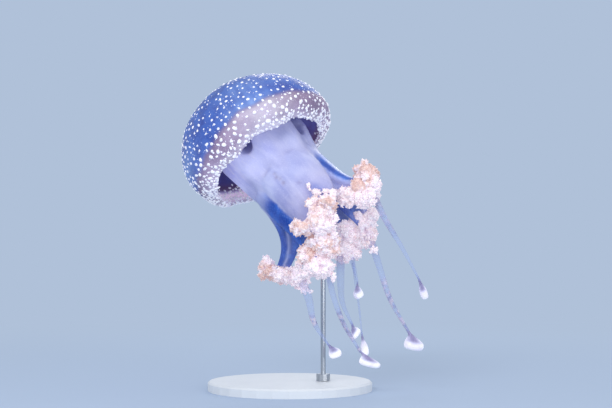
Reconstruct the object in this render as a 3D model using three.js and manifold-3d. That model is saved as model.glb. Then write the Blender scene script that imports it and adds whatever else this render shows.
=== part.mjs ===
// White-spotted jellyfish (Phyllorhiza punctata), life size, swimming, held on a plain display stand.
//
// Units are millimetres, +Z up. The origin is the centre of the stand base's underside, on the floor.
// -Y faces the viewer. The animal is built upright in a frame of its own, with its origin at the middle
// of the bell's widest ring, +Z to the bell's apex, +X to its right and -Y to its near side. One group
// leans that frame into the swimming pose. The mouth arms hang from a crown with a further lean.
import * as THREE from "three";
import { mergeVertices } from "three/addons/utils/BufferGeometryUtils.js";
import Module from "manifold-3d";

const wasm = await Module();
wasm.setup();

// ---- Driving dimensions -------------------------------------------------------------------------

// The swimming pose.
const BELL_CENTRE = [-28, 18, 216]; // middle of the bell's widest ring, above the floor
const BELL_LEAN = 29.7; // degrees, towards -X
const BELL_PITCH = 23; // degrees, apex away from the viewer
const CROWN_LEAN = 15; // degrees more, by which the mouth arms trail to +X
const GAP = 0.3; // between pieces that touch
const SLIVER = 0.15; // steps smaller than this are evened out after a cut

// The bell, a thick dome of jelly over a thinner band that ends in the margin.
const BELL_RADIUS = 70;
const DOME_HEIGHT = 58;
const APEX_WALL = 11;
const RING_WALL = 5;
const BAND_TOP = 4.5; // the band starts this far above the widest ring
const BAND_DEPTH = 19.3; // and reaches this far below it
const BAND_SLANT = 0.36; // share by which it is deeper at -X and shallower at +X
const MOUTH_RADIUS = 54; // outside of the margin
const MARGIN_WALL = 3;
const SHOULDER_DROP = 0.07; // the dome is this share flatter towards +X
const OCTANTS = 8; // sense organs sit in eight notches of the margin
const NOTCH_DEPTH = 1.6;
const BELL_SIDES = 40;

// The arm disc: a fluted column from the bell's ceiling to the crown, with four windows.
const DISC_STEPS = [
  // [below the widest ring, sideways, radius]
  [-50, 0, 37],
  [-12, 1, 38],
  [5, 2, 41],
  [33, 5.5, 36],
  [48, 9, 35],
  [62, 12.5, 31],
  [80, 17.5, 24],
];
const DISC_SIDES = 24;
const DISC_RINGS = 7;
const FLUTES = 8;
const FLUTE_DEPTH = 0.045; // share of the radius
const WINDOW_COUNT = 4;
const WINDOW_TURN = 22.5; // degrees, of the first one
const WINDOW_LEVEL = 6; // below the widest ring
const WINDOW_HALF = [9, 15, 14]; // across, inwards, along the column

// The crown of eight mouth arms hangs round a point on the column's axis.
const CROWN_SIDE = 19; // sideways of the bell's axis
const CROWN_BELOW = 86.6; // below the widest ring

// Each arm: how far its azimuth swings from an even spread, how far out and down its frilled mass
// hangs, its width as a share of the usual, and the lumps that make up its mass. A lump is its offset
// from the mass's middle and its half sizes, both as [right, away, up] of the viewer.
const ARMS = [
  {
    swing: -1, out: 43, down: 10.5, width: 1,
    lumps: [
      [[5, 2, 3], [11, 14, 14]],
      [[4, 0, -13], [13, 14, 11]],
      [[-12, -2, -13], [10, 10, 9]],
    ],
  },
  {
    swing: 24, out: 36, down: 10.6, width: 1.3,
    lumps: [
      [[5, -3, 3], [8, 11, 8]],
      [[-7, -3, 4], [8, 9, 8]],
      [[-1, 1, -4], [12, 12, 8]],
    ],
  },
  {
    swing: 11.6, out: 42, down: 18.4, width: 1.2,
    lumps: [
      [[-5, 1, 3], [11, 12, 8]],
      [[11, 3, 4], [11, 13, 9]],
      [[3, 0, 8], [9, 11, 8]],
    ],
  },
  {
    swing: 2.5, out: 39.1, down: 32.9, width: 1,
    lumps: [
      [[6, -2, 16], [13, 14, 10]],
      [[-6, 2, 5], [9, 12, 9]],
      [[14, -2, 13], [9, 12, 11]],
      [[4, 2, -5], [14, 15, 10]],
    ],
  },
  {
    swing: 0, out: 67.5, down: 4.5, width: 1,
    lumps: [
      [[-11, 2, 2], [8, 12, 8.5]],
      [[3, 0, -1], [11, 16, 8.5]],
      [[16, -4, -2.5], [8.5, 13, 10]],
    ],
  },
  {
    swing: -3, out: 38, down: 22.4, width: 1,
    lumps: [
      [[12, -6, 19], [9, 12, 10]],
      [[10, -2, 3], [10, 13, 11]],
      [[1, -4, 4], [8, 10, 8]],
    ],
  },
  {
    swing: -17.8, out: 32, down: 27.5, width: 1,
    lumps: [
      [[7, 3, 3], [11, 13, 11]],
      [[2, 5, -8], [7, 10, 9]],
    ],
  },
  {
    swing: -22.3, out: 32, down: 29.1, width: 1,
    lumps: [
      [[1, 0, 5], [10, 12, 10]],
      [[-2, 2, -9], [10, 13, 10]],
    ],
  },
];
const ARM_START = [30, -48]; // out from the crown's axis and down from its point
const ARM_FLARE = [
  // [share of the way out, share of the way down] to the mass
  [0, 0],
  [0.03, 0.35],
  [0.2, 0.68],
  [0.5, 0.88],
  [1, 1],
];
const ARM_HALF_THICK = [6, 6.5, 6, 5, 4]; // from the column to the mass
const ARM_HALF_WIDE = [11, 12.5, 11.5, 9.5, 7];
const WEB_INWARD = [4, 9, 11, 9, 5]; // an arm's thin web lies this far inside it, column to mass
const WEB_HALF_THICK = 6; // outwards
const WEB_HALF_WIDE = 3;
const LUMP_SLIVER = 0.3; // the crumpled masses are evened out more than the rest

// The filaments that trail from six of the arms. The two nearest arms have lost theirs, and the seventh
// has a second, thin one. Each starts at root, an offset from its arm's mass, and makes its run to the
// club, as [right, away, up] of the viewer. The bow bends it to the right at a third and two thirds.
// Its radius goes from the first to the second. The club reaches along aim; wide is half of its width,
// and thick half of its thickness.
const FILAMENTS = [
  {
    arm: 1, root: [8, 0, -5], run: [43, 4, -80.5], bow: [-1.5, 0],
    radius: [4.2, 1.3], aim: [5.2, 0, -16], wide: [3.3, 0, 1], thick: 2.8,
  },
  {
    arm: 4, root: [11, 8, -4], run: [29, 4, -74.6], bow: [-4.5, -5],
    radius: [3.8, 1.8], aim: [8.5, 0, -11.5], wide: [9.2, 0, -2.8], thick: 4.4,
  },
  {
    arm: 5, root: [17, -8, 0], run: [26, -8, -62], bow: [-0.5, -4.5],
    radius: [5.4, 1.3], aim: [7, 0, -10.2], wide: [5.4, 0, 1.8], thick: 3,
  },
  {
    arm: 6, root: [6.5, -5, -1], run: [10.6, -4, -61.5], bow: [-3.5, -5.5],
    radius: [5, 1.5], aim: [4.5, 0, -9.5], wide: [3.4, 0, 4.4], thick: 3,
  },
  {
    arm: 7, root: [-2, 0, -7], run: [7, -6, -29.5], bow: [0, 0],
    radius: [3.6, 1.1], aim: [1.5, 0, -13], wide: [4.2, 0, 1.8], thick: 3.2,
  },
  {
    arm: "7_thin", root: [0, 3, -10], run: [9, 2, -73.5], bow: [0, 0.5],
    radius: [1.8, 1.2], aim: [3.5, 0, -17], wide: [3.4, 0, 0.7], thick: 2.4,
  },
  {
    arm: 8, root: [1, 0, -9], run: [34.2, -4, -85], bow: [-2.5, -4.5],
    radius: [4.4, 1.8], aim: [4.8, 0, -14], wide: [8.6, 0, -2], thick: 4.6,
  },
];
const CLUB_WIDTH = [0.16, 0.32, 0.75, 1, 0.98, 0.78]; // shares of the full width, neck to end
const CLUB_THICKNESS = [0.35, 0.5, 0.8, 1, 0.95, 0.7];

// The display stand.
const BASE_RADIUS = 72;
const BASE_THICK = 8;
const BASE_EDGE = 1.5;
const BASE_SIDES = 32;
const ROD_SIDES = 12;
const ROD_PLACE = [29, 0]; // where the rod stands on the base
const ROD_RADIUS = 2.2;
const ROD_TOP = 166;
const COLLAR_RADIUS = 6;
const COLLAR_HEIGHT = 6;

// ---- Materials ----------------------------------------------------------------------------------

const finish = (hex, roughness, extra = {}) =>
  new THREE.MeshStandardMaterial({ color: hex, roughness, metalness: 0, ...extra });
const FINISHES = {
  dome: () => finish(0x5a86d8, 0.25, { transparent: true, opacity: 0.7 }),
  band: () => finish(0xcdbfdc, 0.3),
  column: () => finish(0xb9bdee, 0.3),
  arm: () => finish(0x7f93d8, 0.3),
  frill: () => finish(0xf0e2e6, 0.55),
  filament: () => finish(0x8fb0e8, 0.25, { transparent: true, opacity: 0.6 }),
  club: () => finish(0xf4f4fa, 0.45),
  acrylic: () => finish(0xe6e9ee, 0.2),
  steel: () => finish(0xc4c8cc, 0.3, { metalness: 1 }),
};

// ---- Small helpers ------------------------------------------------------------------------------

const radians = THREE.MathUtils.degToRad;
const degrees = THREE.MathUtils.radToDeg;
const { lerp, clamp } = THREE.MathUtils;

// A geometry as a solid for joining and cutting.
function solid(geometry) {
  const bare = geometry.clone();
  bare.deleteAttribute("normal");
  bare.deleteAttribute("uv");
  const merged = mergeVertices(bare, 1e-4);
  return new wasm.Manifold(
    new wasm.Mesh({
      numProp: 3,
      vertProperties: new Float32Array(merged.attributes.position.array),
      triVerts: new Uint32Array(merged.index.array),
    }),
  );
}

// A solid as a geometry again, without the loose slivers that a cut can leave.
function geometryOf(body, sliver = SLIVER) {
  const pieces = body.simplify(sliver).decompose();
  const largest = pieces.reduce((a, b) => (a.volume() > b.volume() ? a : b));
  const mesh = largest.getMesh();
  const positions = new Float32Array(mesh.numVert * 3);
  for (let i = 0; i < mesh.numVert; i++)
    positions.set(mesh.vertProperties.subarray(i * mesh.numProp, i * mesh.numProp + 3), i * 3);
  const geometry = new THREE.BufferGeometry();
  geometry.setAttribute("position", new THREE.BufferAttribute(positions, 3));
  geometry.setIndex(new THREE.BufferAttribute(new Uint32Array(mesh.triVerts), 1));
  geometry.computeVertexNormals();
  return geometry;
}

// One solid less all of the others.
const less = (body, others) => others.reduce((rest, other) => rest.subtract(other), body);

// Moves every point of a geometry with place(point).
function shaped(geometry, place) {
  const position = geometry.attributes.position;
  const point = new THREE.Vector3();
  for (let i = 0; i < position.count; i++) {
    place(point.fromBufferAttribute(position, i));
    position.setXYZ(i, point.x, point.y, point.z);
  }
  return geometry;
}

// A value that runs through evenly spaced stops as share goes from 0 to 1.
function along(stops, share) {
  const at = clamp(share, 0, 1) * (stops.length - 1);
  const i = Math.min(Math.floor(at), stops.length - 2);
  return lerp(stops[i], stops[i + 1], at - i);
}

// A limb: a closed cylinder bent along a curve, from one share of its length to another.
// section(share) gives its half sizes along and across the direction out(share). Its far end reaches
// longer past the curve's.
function limb(curve, out, section, sides, steps, [from, to] = [0, 1], longer = 0) {
  const centre = new THREE.Vector3();
  const tangent = new THREE.Vector3();
  const first = new THREE.Vector3();
  const second = new THREE.Vector3();
  return shaped(new THREE.CylinderGeometry(1, 1, 1, sides, steps), (point) => {
    const share = lerp(from, to, clamp(0.5 - point.y, 0, 1));
    curve.getPointAt(share, centre);
    curve.getTangentAt(share, tangent);
    first.copy(out(share));
    first.addScaledVector(tangent, -first.dot(tangent)).normalize();
    second.crossVectors(tangent, first);
    if (point.y < -0.49) centre.addScaledVector(tangent, longer);
    const [half, across] = section(share);
    const { x, z } = point;
    point.copy(centre).addScaledVector(first, x * half).addScaledVector(second, z * across);
  });
}

// ---- The animal's frame -------------------------------------------------------------------------

const animal = new THREE.Group();
animal.name = "animal";
animal.position.set(...BELL_CENTRE);
animal.rotation.set(-radians(BELL_PITCH), -radians(BELL_LEAN), 0, "YXZ");
animal.updateMatrixWorld(true);
const toAnimal = animal.matrixWorld.clone().invert();

// An offset to the viewer's right, away and up, in the animal's frame.
function offset([right, away, up]) {
  const size = Math.hypot(right, away, up);
  return new THREE.Vector3(right, away, up).transformDirection(toAnimal).multiplyScalar(size);
}

const lean = radians(CROWN_LEAN);
const CROWN_POINT = new THREE.Vector3(CROWN_SIDE, 0, -CROWN_BELOW);
const CROWN_RIGHT = new THREE.Vector3(Math.cos(lean), 0, Math.sin(lean));
const CROWN_NEAR = new THREE.Vector3(0, -1, 0);
const CROWN_UP = new THREE.Vector3(-Math.sin(lean), 0, Math.cos(lean));

// The crown's outward direction at an azimuth that turns from the right to the near side.
const outward = (azimuth) =>
  new THREE.Vector3()
    .addScaledVector(CROWN_RIGHT, Math.cos(azimuth))
    .addScaledVector(CROWN_NEAR, Math.sin(azimuth));
const crownPlace = (azimuth, out, down) =>
  CROWN_POINT.clone().addScaledVector(outward(azimuth), out).addScaledVector(CROWN_UP, -down);

// ---- The bell -----------------------------------------------------------------------------------

// An ellipse's arc as [radius, height] points, between two angles from the axis.
function arc(radius, height, from, to, count) {
  const points = [];
  for (let i = 0; i <= count; i++) {
    const angle = radians(lerp(from, to, i / count));
    points.push([radius * Math.sin(angle), height * Math.cos(angle)]);
  }
  return points;
}

// The angle at which an ellipse's arc has come down to a level.
const angleAt = (level, height) => degrees(Math.acos(level / height));

// Turns a profile into a piece of the bell, with the band's slant, its notches and the flat shoulder.
function bellPiece(profile, sides = BELL_SIDES) {
  const points = profile.map(([radius, height]) => new THREE.Vector2(radius, height));
  const turned = new THREE.LatheGeometry(points, sides).rotateX(Math.PI / 2);
  return shaped(turned, (point) => {
    const reach = Math.hypot(point.x, point.y);
    const rightness = reach > 1e-6 ? point.x / reach : 0;
    const azimuth = Math.atan2(-point.y, point.x);
    if (point.z < 0) {
      const lowness = -point.z / BAND_DEPTH;
      point.z *= 1 - BAND_SLANT * rightness;
      point.z += NOTCH_DEPTH * lowness ** 3 * Math.cos(OCTANTS * azimuth);
    } else {
      point.z *= 1 - (SHOULDER_DROP * Math.max(rightness, 0) * reach) / BELL_RADIUS;
    }
  });
}

// The dome's wall, a little thicker inwards by grow.
function domeWall(grow = 0, sides = BELL_SIDES) {
  const inner = [BELL_RADIUS - RING_WALL - grow, DOME_HEIGHT - APEX_WALL - grow];
  const level = BAND_TOP + GAP / 2 - grow;
  const outside = arc(BELL_RADIUS, DOME_HEIGHT, 0, angleAt(level, DOME_HEIGHT), 6);
  const inside = arc(...inner, angleAt(level, inner[1]), 0, 6);
  return bellPiece([...outside, ...inside].reverse(), sides);
}

// The band's wall: down from the dome, then turned in to the mouth as a quarter of an ellipse.
function bandWall() {
  const level = BAND_TOP - GAP / 2;
  const innerRing = BELL_RADIUS - RING_WALL;
  const innerTop = DOME_HEIGHT - APEX_WALL;
  const turnIn = (ring, depth) =>
    arc(ring - MOUTH_RADIUS, depth, 90, 0, 3).map(([r, z]) => [MOUTH_RADIUS + r, -z]);
  const outside = [arc(BELL_RADIUS, DOME_HEIGHT, angleAt(level, DOME_HEIGHT), 90, 1)[0]];
  const inside = [arc(innerRing, innerTop, angleAt(level, innerTop), 90, 1)[0]];
  const profile = [
    ...outside,
    ...turnIn(BELL_RADIUS, BAND_DEPTH),
    ...turnIn(innerRing, BAND_DEPTH - MARGIN_WALL).reverse(),
    ...inside,
  ];
  return bellPiece([...profile, profile[0]].reverse());
}

// ---- The arm disc -------------------------------------------------------------------------------

const discCurve = new THREE.CatmullRomCurve3(
  DISC_STEPS.map(([below, side]) => new THREE.Vector3(side, 0, -below)),
);

function armDisc(grow = 0) {
  const out = () => new THREE.Vector3(1, 0, 0);
  const top = -DISC_STEPS[0][0];
  const bottom = -DISC_STEPS.at(-1)[0];
  const stops = DISC_STEPS.map(([below]) => (top + below) / (top - bottom));
  const radiusAt = (share) => {
    let i = 0;
    while (i < stops.length - 2 && share > stops[i + 1]) i++;
    const part = clamp((share - stops[i]) / (stops[i + 1] - stops[i]), 0, 1);
    return lerp(DISC_STEPS[i][2], DISC_STEPS[i + 1][2], part);
  };
  const column = limb(discCurve, out, () => [1, 1], DISC_SIDES, DISC_RINGS);
  const axis = new THREE.Vector3();
  const reach = new THREE.Vector3();
  shaped(column, (point) => {
    const share = clamp((top - point.z) / (top - bottom), 0, 1);
    discCurve.getPointAt(share, axis);
    reach.subVectors(point, axis).setZ(0);
    const azimuth = Math.atan2(-reach.y, reach.x);
    const radius = radiusAt(share) * (1 + FLUTE_DEPTH * Math.cos(FLUTES * azimuth));
    const height = point.z - grow * (share > 0.99 ? 1 : 0);
    point.copy(axis).addScaledVector(reach, radius + grow).setZ(height);
  });
  return column;
}

// The windows: hollows in the column's side between its four pillars.
function windows() {
  const cuts = [];
  for (let i = 0; i < WINDOW_COUNT; i++) {
    const turn = radians(WINDOW_TURN) + (i * 2 * Math.PI) / WINDOW_COUNT;
    const [across, inwards, high] = WINDOW_HALF;
    const hollow = new THREE.SphereGeometry(1, 10, 6).scale(inwards, across, high);
    hollow.rotateZ(-turn);
    hollow.translate(2 + 41 * Math.cos(turn), -41 * Math.sin(turn), -WINDOW_LEVEL);
    cuts.push(solid(hollow));
  }
  return cuts;
}

// ---- The mouth arms -----------------------------------------------------------------------------

const azimuthOf = (k) => ((k + 0.5) / ARMS.length) * 2 * Math.PI;
const massAzimuth = (k) => azimuthOf(k) + radians(ARMS[k].swing);
const massCentre = (k) => crownPlace(massAzimuth(k), ARMS[k].out, ARMS[k].down);

function armCurve(k, inward = () => 0) {
  const { out: massOut, down: massDown } = ARMS[k];
  const points = ARM_FLARE.map(([outShare, downShare], i) =>
    crownPlace(
      lerp(azimuthOf(k), massAzimuth(k), outShare),
      lerp(ARM_START[0], massOut, outShare) - inward(i / (ARM_FLARE.length - 1)),
      lerp(ARM_START[1], massDown, downShare),
    ),
  );
  return new THREE.CatmullRomCurve3(points);
}

// An arm: a flattened limb outside, and a thin web along its inner side.
function mouthArm(k, grow = 0) {
  const out = (share) => outward(lerp(azimuthOf(k), massAzimuth(k), share));
  const section = (share) => [
    along(ARM_HALF_THICK, share) + grow,
    along(ARM_HALF_WIDE, share) * ARMS[k].width + grow,
  ];
  const web = () => [WEB_HALF_THICK + grow, WEB_HALF_WIDE + grow];
  const inward = (share) => along(WEB_INWARD, share);
  return solid(limb(armCurve(k), out, section, 8, 5, [0, 1], grow)).add(
    solid(limb(armCurve(k, inward), out, web, 4, 4, [0, 1], grow)),
  );
}

// A frilled mass: cauliflower-like lumps round the arm's end.
function frill(k, grow = 0) {
  const centre = massCentre(k);
  const lumps = ARMS[k].lumps.map(([place, half], i) => {
    const middle = centre.clone().add(offset(place));
    const [right, away, up] = [0, 1, 2].map((n) =>
      offset([0, 1, 2].map((m) => (m === n ? half[n] + grow : 0))),
    );
    const ball = shaped(new THREE.IcosahedronGeometry(1, 1), (point) => {
      const { x, y, z } = point.normalize();
      const seed = 1.7 * k + 2.3 * i;
      const swell = 1.06 + 0.05 * Math.sin(5.1 * x + seed) + 0.05 * Math.sin(5.3 * z - seed);
      point.copy(middle).addScaledVector(right, x * swell);
      point.addScaledVector(away, y * swell).addScaledVector(up, z * swell);
    });
    return solid(ball);
  });
  return lumps.reduce((mass, lump) => mass.add(lump));
}

// ---- The filaments and their clubs --------------------------------------------------------------

function filamentCurve({ arm, root, run, bow }) {
  const start = massCentre(parseInt(arm) - 1).add(offset(root));
  const place = (share, bend) =>
    start.clone().add(offset([run[0] * share + bend, run[1] * share, run[2] * share]));
  return new THREE.CatmullRomCurve3([
    place(0, 0),
    place(1 / 3, bow[0]),
    place(2 / 3, bow[1]),
    place(1, 0),
  ]);
}

function filament(thread, range) {
  const [root, neck] = thread.radius;
  const section = (share) => Array(2).fill(lerp(root, neck, share ** 1.4));
  return limb(filamentCurve(thread), () => offset([0, -1, 0]), section, 6, 3, range);
}

// A club: flares from the filament's neck to a broad, flattened, rounded end, which may be cut askew.
function club(thread) {
  const aim = offset(thread.aim);
  const wide = offset(thread.wide);
  const thick = new THREE.Vector3().crossVectors(aim, wide).setLength(thread.thick);
  const curve = filamentCurve(thread);
  const heading = curve.getTangentAt(1);
  const start = curve.getPointAt(1).addScaledVector(heading, GAP * 1.5);
  const square = wide.clone().addScaledVector(heading, -wide.dot(heading));
  const across = new THREE.Vector3();
  return shaped(new THREE.CylinderGeometry(1, 1, 1, 8, 5), (point) => {
    const { x, y, z } = point;
    const share = clamp(0.5 - y, 0, 1);
    across.lerpVectors(square, wide, Math.min(share / 0.4, 1));
    point
      .copy(start)
      .addScaledVector(aim, share)
      .addScaledVector(across, x * along(CLUB_WIDTH, share))
      .addScaledVector(thick, z * along(CLUB_THICKNESS, share));
  });
}

// ---- The stand ----------------------------------------------------------------------------------

function standBase() {
  const profile = [
    [0, 0],
    [BASE_RADIUS, 0],
    [BASE_RADIUS, BASE_THICK - BASE_EDGE],
    [BASE_RADIUS - BASE_EDGE, BASE_THICK],
    [0, BASE_THICK],
  ].map(([radius, height]) => new THREE.Vector2(radius, height));
  return new THREE.LatheGeometry(profile, BASE_SIDES).rotateX(Math.PI / 2);
}

// The rod, with a collar at its foot.
function standRod(grow = 0) {
  const foot = BASE_THICK + GAP;
  const profile = [
    [0, foot],
    [COLLAR_RADIUS + grow, foot],
    [COLLAR_RADIUS + grow, foot + COLLAR_HEIGHT + grow],
    [ROD_RADIUS + grow, foot + COLLAR_HEIGHT + grow],
    [ROD_RADIUS + grow, ROD_TOP + grow],
    [0, ROD_TOP + grow],
  ].map(([radius, height]) => new THREE.Vector2(radius, height));
  return new THREE.LatheGeometry(profile, ROD_SIDES).rotateX(Math.PI / 2).translate(...ROD_PLACE, 0);
}

// ---- Putting it together ------------------------------------------------------------------------

const group = new THREE.Group();
group.name = "jellyfish";
group.add(animal);

function add(parent, name, geometry, material) {
  const mesh = new THREE.Mesh(geometry, material);
  mesh.name = name;
  geometry.computeVertexNormals();
  parent.add(mesh);
}

const rodInAnimal = solid(standRod(GAP).applyMatrix4(toAnimal));
const disc = less(solid(armDisc()), [solid(domeWall(GAP, BELL_SIDES / 2)), ...windows(), rodInAnimal]);
add(animal, "bell_dome", domeWall(), FINISHES.dome());
add(animal, "bell_margin", bandWall(), FINISHES.band());
add(animal, "arm_disc", geometryOf(disc), FINISHES.column());

const grownDisc = solid(armDisc(GAP));
const placed = [grownDisc, rodInAnimal];
ARMS.forEach((_, k) => {
  const arm = less(mouthArm(k), placed);
  placed.push(mouthArm(k, GAP));
  add(animal, `oral_arm_${k + 1}`, geometryOf(arm), FINISHES.arm());
});
ARMS.forEach((_, k) => {
  const mass = less(frill(k), placed);
  placed.push(frill(k, GAP));
  add(animal, `arm_frill_${k + 1}`, geometryOf(mass, LUMP_SLIVER), FINISHES.frill());
});
for (const thread of FILAMENTS) {
  const upper = less(solid(filament(thread, [0, 0.5])), placed);
  const lower = less(solid(filament(thread, [0.503, 1])), placed);
  add(animal, `filament_${thread.arm}_upper`, geometryOf(upper), FINISHES.filament());
  add(animal, `filament_${thread.arm}_lower`, geometryOf(lower), FINISHES.filament());
  add(animal, `club_${thread.arm}`, club(thread), FINISHES.club());
}
add(group, "stand_base", standBase(), FINISHES.acrylic());
add(group, "stand_rod", standRod(), FINISHES.steel());

export default group;
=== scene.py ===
# %% [markdown]
# # A white-spotted jellyfish on its stand
# The animal is almost all water: a thick dome of clear jelly, a milky band below it, a stout arm disc,
# eight frilled mouth arms and a few long filaments that end in white clubs. Its flesh runs on without
# a seam, so one skin is made for all of it, and only the frills, the white spots and the stand are
# pieces of their own. All sizes are in metres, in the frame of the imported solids.

import math

import bmesh
import bpy
import numpy as np
from mathutils import Matrix, Vector, kdtree, noise


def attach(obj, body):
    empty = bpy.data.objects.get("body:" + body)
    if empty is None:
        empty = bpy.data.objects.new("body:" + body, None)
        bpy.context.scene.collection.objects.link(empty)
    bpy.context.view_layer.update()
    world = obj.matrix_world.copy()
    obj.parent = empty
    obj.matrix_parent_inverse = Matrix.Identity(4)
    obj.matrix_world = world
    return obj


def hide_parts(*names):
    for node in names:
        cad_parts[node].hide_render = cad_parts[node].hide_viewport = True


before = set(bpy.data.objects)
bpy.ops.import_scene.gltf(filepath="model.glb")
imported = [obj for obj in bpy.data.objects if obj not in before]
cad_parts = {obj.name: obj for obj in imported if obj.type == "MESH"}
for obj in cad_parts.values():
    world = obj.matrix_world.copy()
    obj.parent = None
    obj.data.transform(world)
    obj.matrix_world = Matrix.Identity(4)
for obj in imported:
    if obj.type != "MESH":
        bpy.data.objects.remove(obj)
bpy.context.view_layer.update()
MM = 0.001

# %% [markdown]
# ## The camera
# The animal is seen level, from its own height. A long lens from a metre and a half away keeps the
# bell and the clubs in proportion, as an aquarium window does.

# %% Camera
EYE = Vector((0.014, -1.5, 0.16275))
VIEW_WIDTH = 0.5355  # what the picture takes in at the object
camera = bpy.data.objects.new("studio_camera", bpy.data.cameras.new("studio_camera"))
camera.data.sensor_width = 36
camera.data.lens = 36 * -EYE.y / VIEW_WIDTH
camera.location = EYE
camera.rotation_euler = (math.pi / 2, 0, 0)
bpy.context.scene.collection.objects.link(camera)
bpy.context.scene.camera = camera
print("lens", round(camera.data.lens, 1), "mm")

# %% [markdown]
# ## Making meshes and their masks
# Every mesh here starts as arrays of points and faces. A mask is a number from 0 to 1 at each point,
# kept in the mesh as an attribute, which the materials read: how milky, how clear, how white. Painting
# with masks ties the colours to the shape, so they stay put from every side.


# %% Mesh helpers
def add_mask(mesh, name, values):
    """One number at each point, kept in the mesh under its name."""
    layer = mesh.attributes.new(name, "FLOAT", "POINT")
    layer.data.foreach_set("value", np.asarray(values, dtype=np.float32))


def make_mesh(name, points, faces, masks=None):
    """An object from arrays of points and faces, with its masks."""
    mesh = bpy.data.meshes.new(name)
    mesh.from_pydata([tuple(p) for p in points], [], [tuple(f) for f in faces])
    for mask, values in (masks or {}).items():
        add_mask(mesh, mask, values)
    made = bpy.data.objects.new(name, mesh)
    bpy.context.scene.collection.objects.link(made)
    return made


def rows_of(items, what, width, kind=float):
    """What each item says, as one row of an array for each."""
    flat = np.empty(len(items) * width, dtype=kind)
    items.foreach_get(what, flat)
    return flat.reshape(-1, width)


def points_of(mesh):
    return rows_of(mesh.vertices, "co", 3)


def set_points(mesh, points):
    mesh.vertices.foreach_set("co", np.asarray(points).ravel())
    mesh.update()


def edges_of(mesh):
    return rows_of(mesh.edges, "vertices", 2, np.int64)


def evened(values, edges, rounds, share=0.5):
    """Values at the points, each drawn towards the mean of its neighbours."""
    count = np.bincount(edges.ravel(), minlength=len(values)).clip(1)
    for _ in range(rounds):
        total = np.zeros_like(values)
        np.add.at(total, edges[:, 0], values[edges[:, 1]])
        np.add.at(total, edges[:, 1], values[edges[:, 0]])
        mean = total / (count[:, None] if values.ndim == 2 else count)
        values = values + share * (mean - values)
    return values


def smooth_shaded(made):
    made.data.polygons.foreach_set("use_smooth", [True] * len(made.data.polygons))
    return made


def soft_step(value, low, high):
    share = np.clip((value - low) / (high - low), 0, 1)
    return share * share * (3 - 2 * share)


def close_to(value, place, reach):
    """1 at the place, and almost nothing two reaches away."""
    return np.exp(-(((value - place) / reach) ** 2))


def applied(made):
    """The object with its modifiers turned into plain mesh."""
    evaluated = made.evaluated_get(bpy.context.evaluated_depsgraph_get())
    mesh = bpy.data.meshes.new_from_object(evaluated)
    made.modifiers.clear()
    made.data = mesh
    return made


# %% [markdown]
# ## The animal's own frame
# The animal leans to the left and tips its crown away, so that a little of its underside shows. Its
# bell is worked out upright, about its own axis, and then turned into place with one matrix.

# %% The animal's frame
BELL_CENTRE = np.array([-28, 18, 216]) * MM
LEAN = Matrix.Rotation(math.radians(-29.7), 3, "Y") @ Matrix.Rotation(math.radians(-23), 3, "X")
TURN = np.array(LEAN)


def placed(upright):
    return BELL_CENTRE + np.asarray(upright) @ TURN.T


print("bell centre", (BELL_CENTRE / MM).tolist(), "mm")


# %% [markdown]
# ## The bell
# The bell is a thick dome whose wall thins towards the margin, where it turns in over the mouth. A
# lathe would make it too even: the real margin hangs deep on the left and is shallow on the right, and
# it is notched eight times, with small lappets between. So the outline is drawn once, as a closed path
# from the crown outside to the crown inside, and every ring of points is then bent.

# %% Bell sizes
BELL_RADIUS = 70 * MM
DOME_HEIGHT = 58 * MM
INNER_RADIUS = 65 * MM
INNER_HEIGHT = 47 * MM
BAND_DEPTH = 19.3 * MM
INNER_DEPTH = 16.3 * MM
MOUTH_RADIUS = 54 * MM
BAND_SLANT = 0.36  # this share deeper on the left, and shallower on the right
SHOULDER_DROP = 0.07
OCTANTS = 8
NOTCH = 1.6 * MM
LAPPETS = 80
LAPPET = 0.7 * MM
RIPPLE = 0.35 * MM
BELL_ROUND = 260  # points round the bell
CROWN_GAP = 0.4  # degrees left open round the axis, which one point closes
print("bell", round(2 * BELL_RADIUS / MM), "mm across, its band", BAND_DEPTH / MM, "mm deep")


# %% The bell's outline
def bell_outline():
    """The wall's outline as radius, height and a share of wall: 0 outside, 1 inside."""
    down = np.radians(np.linspace(CROWN_GAP, 90, 56))
    turn = np.radians(np.linspace(90, 0, 22)[1:])
    back = np.radians(np.linspace(0, 90, 12))
    up = np.radians(np.linspace(90, CROWN_GAP, 28)[1:])
    reach = BELL_RADIUS - MOUTH_RADIUS
    inner_reach = INNER_RADIUS - MOUTH_RADIUS
    parts = [
        (BELL_RADIUS * np.sin(down), DOME_HEIGHT * np.cos(down), 0),
        (MOUTH_RADIUS + reach * np.sin(turn), -BAND_DEPTH * np.cos(turn), 0),
        (MOUTH_RADIUS + inner_reach * np.sin(back), -INNER_DEPTH * np.cos(back), 1),
        (INNER_RADIUS * np.sin(up), INNER_HEIGHT * np.cos(up), 1),
    ]
    radius = np.concatenate([p[0] for p in parts])
    height = np.concatenate([p[1] for p in parts])
    inside = np.concatenate([np.full(len(p[0]), p[2], dtype=float) for p in parts])
    return radius, height, inside


def bent(radius, height, azimuth):
    """Slants the band, notches the margin and lowers the shoulder.

    Azimuth turns from the right to the near side.
    """
    rightness = np.cos(azimuth)
    lowness = np.clip(-height / BAND_DEPTH, 0, 1)
    low = height * (1 - BAND_SLANT * rightness)
    low = low + NOTCH * lowness**3 * np.cos(OCTANTS * azimuth)
    low = low - LAPPET * lowness**6 * np.abs(np.sin(LAPPETS / 2 * azimuth))
    high = height * (1 - SHOULDER_DROP * np.clip(rightness, 0, 1) * radius / BELL_RADIUS)
    return np.where(height < 0, low, high)


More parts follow.
